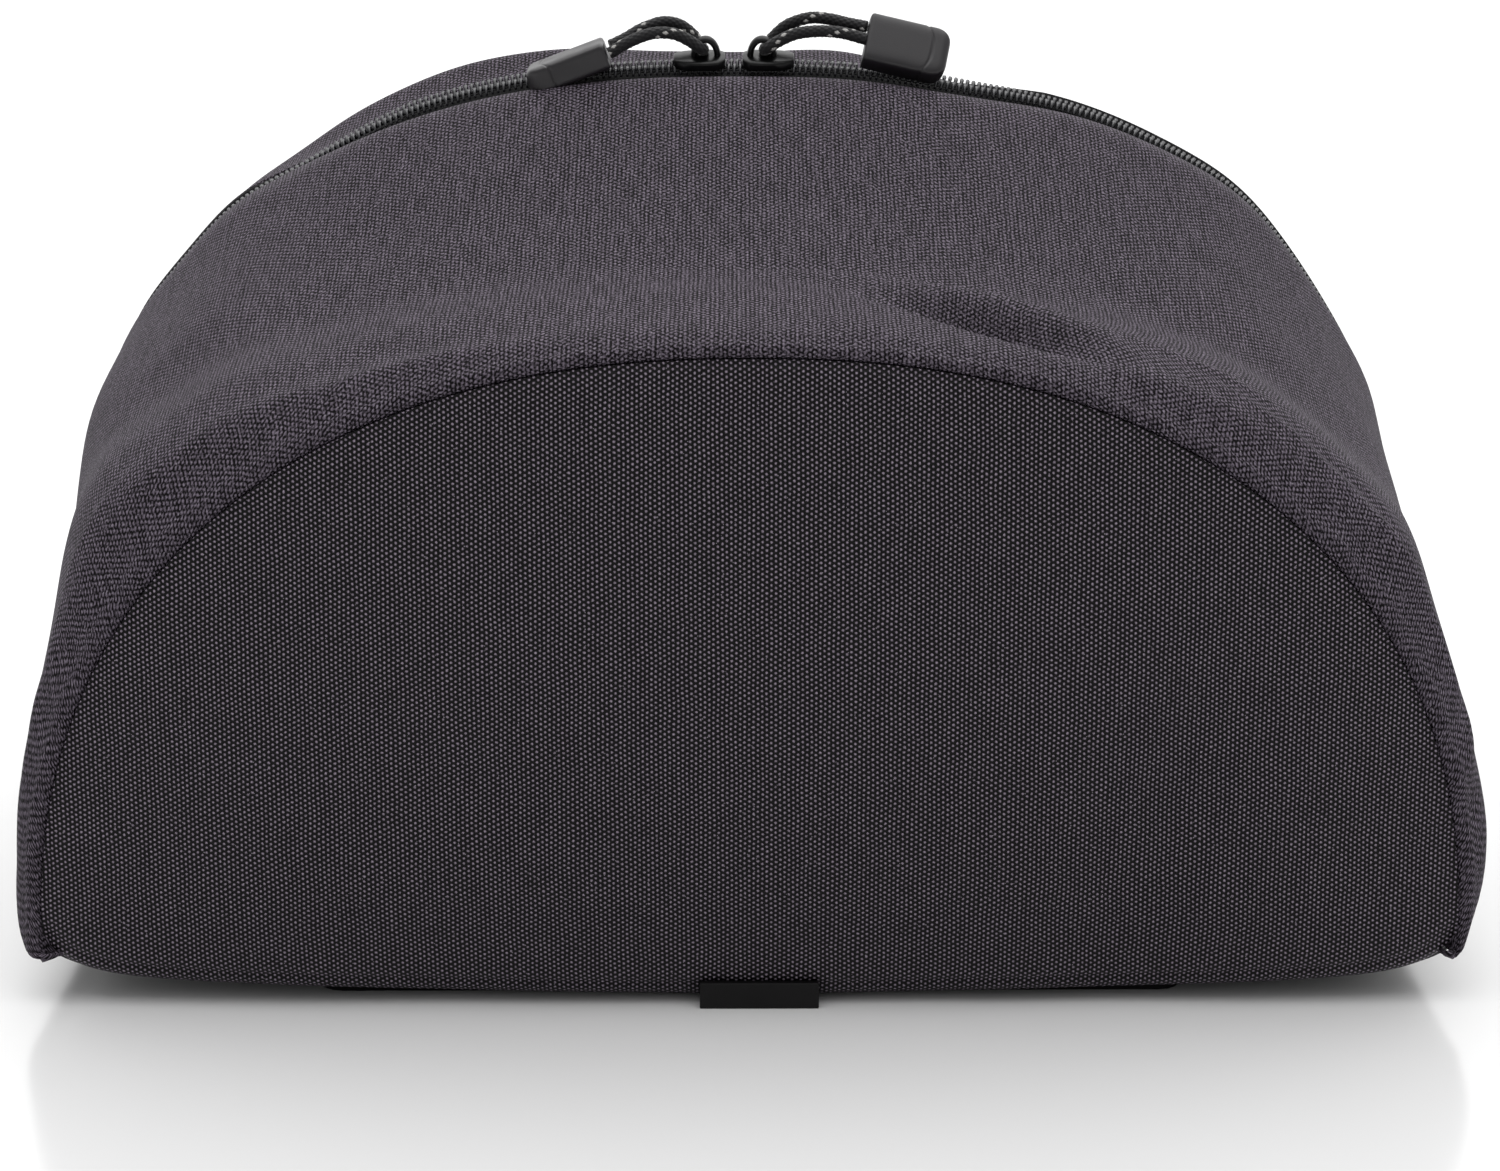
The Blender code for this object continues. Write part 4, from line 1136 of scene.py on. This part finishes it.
lean_back = Matrix.Translation((0, 0, COIL_RAISE)) @ Matrix.Rotation(CHAIN_LEAN, 4, "X")
for name, outward in (("left", -1), ("right", 1)):
    matrix = ridge_frame(SLIDER_X[name]) @ lean_back
    high = GAP + SLIDER_PLATE
    low = GAP - SLIDER_DROP
    rings = []
    for along, half in SLIDER_PLAN:
        half = half * MM
        ring = []
        for across, up in ((-1, low), (-1, high - 0.5 * MM), (-0.93, high - 0.12 * MM), (-0.75, high + 0.1 * MM), (0, high + 0.25 * MM)):
            ring.append((along * SLIDER_LENGTH * outward, across * half, up))
        ring += [(x, -y, z) for x, y, z in ring[-2::-1]]
        ring += [(ring[-1][0], half - 0.85 * MM, low), (ring[-1][0], half - 0.85 * MM, GAP), (ring[-1][0], 0.85 * MM - half, GAP), (ring[-1][0], 0.85 * MM - half, low)]
        rings.append(ring)
    count = len(rings[0])
    faces = [list(range(count)), [(len(rings) - 1) * count + index for index in range(count)]]
    faces += [list(face) for face in grid_faces(len(rings), count, closed=True)]
    plate_shape = ([point for ring in rings for point in ring], faces)
    angles = np.linspace(-0.18, math.pi + 0.18, 21)
    line = [(-EYE_SHIFT * outward + EYE_HALF * math.cos(angle), 0, high + EYE_HEIGHT * math.sin(angle)) for angle in angles]
    eye_points, eye_faces = tube(line, EYE_WIRE, 12)
    eye_points[:, 1] *= 1.75
    points, faces = join_shapes([plate_shape, (eye_points, eye_faces)])
    slider = add_solid("slider_" + name + "_cast", placed(matrix, points), faces, enamel, 40)
    rounding = slider.modifiers.new("rounded edges", "BEVEL")
    rounding.width = 0.22 * MM
    rounding.segments = 3
    rounding.limit_method = "ANGLE"
    rounding.angle_limit = math.radians(40)
    add_piece(slider, "slider_enamel", "slider_" + name)
print("two sliders with eyes", round(2 * EYE_HALF / MM, 1), "mm wide")

# %% [markdown]
# ## Cord loops
#
# A length of braided cord passes through each slider's eye and both its ends go into the
# pull. The route is a short given list of points, read through a smooth curve. The
# braid is sixteen strands that pass over and under each other: two sets of spirals,
# which two cosine waves of the angle and the length describe, and they are pressed into
# the tube itself, because the cord's edge shows them. One strand is pale grey, which
# gives the dashes along the cord.

# %% Cord routes
CORD_DIAMETER = 3.1 * MM
CORD_SPACING = 0.22 * MM
CORD_ROUTES = {
    "left": (
        (22.6, -7.0, 3.3), (17.0, -6.6, 6.4), (11.5, -5.8, 8.2), (6.4, -5.0, 8.0),
        (2.6, -4.3, 6.3), (0.1, -3.3, 4.5), (-0.8, -1.7, 3.8), (-0.9, 0.0, 3.7),
        (-0.8, 1.7, 3.8), (0.1, 3.3, 5.0), (2.0, 3.8, 7.4), (5.2, 3.3, 9.7),
        (9.5, 1.9, 10.4), (14.5, 0.0, 8.9), (18.5, -1.6, 6.7), (22.4, -2.9, 4.9),
    ),
    "right": (
        (24.7, -5.4, 6.6), (18.5, -4.9, 8.2), (12.8, -4.6, 8.6), (7.2, -4.5, 8.0),
        (3.0, -4.2, 6.3), (0.1, -3.3, 4.5), (-0.8, -1.7, 3.8), (-0.9, 0.0, 3.7),
        (-0.8, 1.7, 3.8), (0.1, 3.3, 5.0), (2.0, 3.8, 7.2), (5.2, 3.5, 9.7),
        (10.5, 2.4, 11.4), (15.5, 0.9, 11.2), (20.0, -0.9, 10.3), (24.8, -2.3, 9.5),
    ),
}


def smooth_route(points, spacing):
    """Evenly spaced points on a Catmull-Rom curve through the route's own points."""
    points = [Vector(point) for point in points]
    points = [points[0] * 2 - points[1], *points, points[-1] * 2 - points[-2]]
    dense = []
    for before, here, there, after in zip(points, points[1:], points[2:], points[3:]):
        for step in range(12):
            share = step / 12
            bend = (there - before) * share
            bend += (before * 2 - here * 5 + there * 4 - after) * share**2
            bend += (here * 3 - there * 3 + after - before) * share**3
            dense.append(here + bend / 2)
    dense.append(points[-2])
    lengths = [0.0]
    for here, there in zip(dense, dense[1:]):
        lengths.append(lengths[-1] + (there - here).length)
    count = max(2, round(lengths[-1] / spacing))
    places = np.linspace(0, lengths[-1], count + 1)
    axes = [np.interp(places, lengths, [point[axis] for point in dense]) for axis in range(3)]
    return np.stack(axes, axis=1)


def cord_points(side, spacing):
    outward = -1 if side == "left" else 1
    origin = ridge_frame(SLIDER_X[side]).translation
    route = [origin + Vector((along * outward, across, up)) * MM for along, across, up in CORD_ROUTES[side]]
    return smooth_route(route, spacing)


for side in CORD_ROUTES:
    line = cord_points(side, 1 * MM)
    print("cord", side, "runs", round(float(np.linalg.norm(np.diff(line, axis=0), axis=1).sum()), 4), "m")

# %% Braid material
cord_braid, tree, shader = new_material("polyester braid", "#121214", 0.62, Specular_IOR_Level=0.35, Sheen_Weight=0.15)
pale = add_node(tree, "ShaderNodeAttribute", attribute_name="pale_strand")
coordinate = add_node(tree, "ShaderNodeTexCoord")
fibres = add_node(tree, "ShaderNodeTexNoise", {"Vector": coordinate.outputs["Object"]}, {"Scale": 4200, "Detail": 2})
dark = add_node(tree, "ShaderNodeValToRGB", {"Fac": fibres.outputs["Fac"]})
dark.color_ramp.elements[0].position = 0.3
dark.color_ramp.elements[0].color = (*linear("#060607"), 1)
dark.color_ramp.elements[1].position = 0.75
dark.color_ramp.elements[1].color = (*linear("#1d1c20"), 1)
strands = add_node(tree, "ShaderNodeMix", data_type="RGBA")
tree.links.new(pale.outputs["Fac"], strands.inputs["Factor"])
tree.links.new(dark.outputs["Color"], strands.inputs["A"])
strands.inputs["B"].default_value = (*linear("#b9b7b4"), 1)
tree.links.new(strands.outputs["Result"], shader.inputs["Base Color"])
bump = add_node(tree, "ShaderNodeBump", {"Height": fibres.outputs["Fac"]}, {"Distance": 0.05 * MM, "Strength": 0.7})
tree.links.new(bump.outputs[0], shader.inputs["Normal"])
print("braid material ready")

# %% Cords
STRANDS = 8
STRAND_STEP = 0.95 * MM
STRAND_RELIEF = 0.11 * MM
CORD_SIDES = 48
for side in ("left", "right"):
    line = cord_points(side, CORD_SPACING)
    points, faces = tube(line, CORD_DIAMETER / 2 - STRAND_RELIEF, CORD_SIDES)
    points = points.reshape(len(line), CORD_SIDES, 3)
    turn = np.arange(CORD_SIDES)[None, :] * 2 * math.pi / CORD_SIDES
    length = np.arange(len(line))[:, None] * CORD_SPACING
    first = STRANDS / 2 * turn + length * math.pi / STRAND_STEP / 2
    second = STRANDS / 2 * turn - length * math.pi / STRAND_STEP / 2
    crowns = np.cos(first * 1.0) * np.cos(second * 1.0)
    outwards = points - line[:, None, :]
    outwards /= np.linalg.norm(outwards, axis=2)[..., None]
    points = points + outwards * (np.abs(crowns) ** 0.6 * 2 - 0.9)[..., None] * STRAND_RELIEF
    strand = np.round(first / math.pi).astype(int) % STRANDS
    pale = ((strand == 0) & (crowns * np.where(np.round(first / math.pi) % 2 == 0, 1, -1) > 0.12)).astype(np.float32)
    cord = add_mesh("cord_" + side + "_braid", points.reshape(-1, 3), faces, cord_braid)
    layer = cord.data.attributes.new("pale_strand", "FLOAT", "POINT")
    layer.data.foreach_set("value", pale.ravel())
    add_piece(cord, "cord_braid", "cord_" + side)
print("cords with", STRANDS * 2, "strands")

# %% [markdown]
# ## Cord pulls
#
# Each cord's ends are held in a moulded pull of satin plastic, flat, with rounded edges
# and a lid at its outer end, whose joint shows as a fine curved groove. The body is a
# rounded rectangle swept along its length, fine enough that the groove is pressed into
# its points. Moulded plastic of this kind has a faint spark-eroded grain.

# %% Moulded plastic


def moulded_plastic(name, base, roughness, grain, gloss):
    """Plastic from a spark-eroded mould, with a fine grain of that height."""
    material, tree, shader = new_material(name, base, roughness, IOR=1.49, Specular_IOR_Level=gloss)
    coordinate = add_node(tree, "ShaderNodeTexCoord")
    grains = add_node(tree, "ShaderNodeTexNoise", {"Vector": coordinate.outputs["Object"]}, {"Scale": 3000, "Detail": 3})
    broad = add_node(tree, "ShaderNodeTexNoise", {"Vector": coordinate.outputs["Object"]}, {"Scale": 160, "Detail": 2})
    worn = add_node(tree, "ShaderNodeMapRange", {"Value": broad.outputs["Fac"]})
    worn.inputs["From Min"].default_value = 0.3
    worn.inputs["From Max"].default_value = 0.7
    worn.inputs["To Min"].default_value = roughness - 0.06
    worn.inputs["To Max"].default_value = roughness + 0.06
    tree.links.new(worn.outputs["Result"], shader.inputs["Roughness"])
    bump = add_node(tree, "ShaderNodeBump", {"Height": grains.outputs["Fac"]}, {"Distance": grain, "Strength": 0.8})
    tree.links.new(bump.outputs[0], shader.inputs["Normal"])
    return material


pull_plastic = moulded_plastic("moulded thermoplastic pull", "#1b181c", 0.42, 0.03 * MM, 0.65)
plate_plastic = moulded_plastic("moulded polypropylene plate", "#0b0a0b", 0.50, 0.05 * MM, 0.22)

# %% Pulls
PULL_LENGTH = 21 * MM
PULL_WIDTH = 13.4 * MM
PULL_THICK = 7.0 * MM
PULL_TILT = {"left": (20.5, 5.0), "right": (13.0, 60.0)}
PULL_SHIFT = {"left": (0.3, 0.0, -0.3), "right": (-1.3, 0.0, -1.5)}


def pull_frame(side):
    """World matrix of a pull: X along it from the cord's ends, Z out of its broad face."""
    outward = -1 if side == "left" else 1
    pitch, roll = (math.radians(angle) for angle in PULL_TILT[side])
    points = cord_points(side, 2 * MM)
    ends = (Vector(points[0]) + Vector(points[-1])) / 2
    along = Vector((outward * math.cos(pitch), 0.0, -math.sin(pitch)))
    across = Vector((0.0, math.cos(roll), math.sin(roll)))
    across = (across - along * across.dot(along)).normalized()
    face = along.cross(across) * outward
    across = face.cross(along)
    frame = Matrix.Identity(4)
    frame.col[0] = (*along, 0.0)
    frame.col[1] = (*across, 0.0)
    frame.col[2] = (*face, 0.0)
    frame.col[3] = (*(ends + along * (GAP + CORD_DIAMETER / 4) + Vector(PULL_SHIFT[side]) * MM), 1.0)
    return frame


def rounded_box(turns, half_wide, half_thick, power):
    """Rounded rectangle as a superellipse, y and z at the given turns."""
    cosine = np.cos(turns)
    sine = np.sin(turns)
    y = half_wide * np.sign(cosine) * np.abs(cosine) ** (2 / power)
    z = half_thick * np.sign(sine) * np.abs(sine) ** (2 / power)
    return y, z


for side in ("left", "right"):
    places = np.concatenate([np.linspace(0, 0.05, 8)[:-1], np.linspace(0.05, 0.72, 30)[:-1], np.linspace(0.72, 1, 44)])
    turns = np.linspace(0, 2 * math.pi, 97)[:-1] + 0.001
    rings = []
    for place in places:
        inner = np.clip(1 - place * PULL_LENGTH / (0.9 * MM), 0, 1)
        outer = np.clip(1 - (1 - place) * PULL_LENGTH / (4.2 * MM), 0, 1)
        lid = np.clip(1 - (1 - place) * PULL_LENGTH / (2.4 * MM), 0, 1)
        half_wide = PULL_WIDTH / 2 - 0.8 * MM * (1 - math.sqrt(1 - inner**2)) - 3.4 * MM * (1 - math.sqrt(1 - outer**2))
        half_thick = PULL_THICK / 2 - 0.8 * MM * (1 - math.sqrt(1 - inner**2)) - 1.7 * MM * (1 - math.sqrt(1 - lid**2))
        y, z = rounded_box(turns, half_wide, half_thick, 6.5)
        x = place * PULL_LENGTH
        groove = x - (16.9 * MM - 2.2 * MM * (y / (PULL_WIDTH / 2)) ** 2)
        dent = 0.34 * MM * np.exp(-((groove / (0.28 * MM)) ** 2))
        size = np.hypot(y, z)
        y = y * (1 - dent / size)
        z = z * (1 - dent / size)
        rings.append(np.stack([np.full(len(y), x), y, z], axis=1))
    points = np.concatenate(rings)
    count = len(turns)
    faces = [list(face) for face in grid_faces(len(rings), count, closed=True)]
    faces += [list(range(count)), [(len(rings) - 1) * count + index for index in range(count)]]
    pull = add_solid("pull_" + side + "_moulded", placed(pull_frame(side), points), faces, pull_plastic, 50)
    add_piece(pull, "pull_plastic", "pull_" + side)
    print(pull.name, len(points), "points")

for side in ("left", "right"):
    line = cord_points(side, 1 * MM)
    length = float(np.linalg.norm(np.diff(line, axis=0), axis=1).sum())

# %% [markdown]
# ## Plate and tab
#
# The adapter plate under the bag and the tab at its front are plain injection moulded
# polypropylene. Their solids already have the right shape, so a merged copy of each gets
# rounded edges and the plastic's grain.


# %% Plate and tab
def rounded_copy(node, name, material, width):
    """Copy of a solid with its loose triangles merged and its edges rounded."""
    mesh = frame["nodes"][node].data.copy()
    work = bmesh.new()
    work.from_mesh(mesh)
    bmesh.ops.remove_doubles(work, verts=work.verts, dist=1e-6)
    bmesh.ops.dissolve_limit(work, angle_limit=math.radians(1), verts=work.verts, edges=work.edges)
    work.to_mesh(mesh)
    work.free()
    mesh.materials.clear()
    mesh.materials.append(material)
    mesh.shade_smooth()
    thing = bpy.data.objects.new(name, mesh)
    bpy.context.scene.collection.objects.link(thing)
    rounding = thing.modifiers.new("rounded edges", "BEVEL")
    rounding.width = width
    rounding.segments = 3
    rounding.limit_method = "ANGLE"
    rounding.angle_limit = math.radians(30)
    rounding.harden_normals = True
    return thing


add_piece(rounded_copy("base_plate", "base_plate_moulded", plate_plastic, 0.6 * MM), "plate_plastic", "base_plate")
add_piece(rounded_copy("plate_tab", "plate_tab_moulded", plate_plastic, 0.35 * MM), "plate_plastic", "plate_tab")
print("plate and tab rounded")
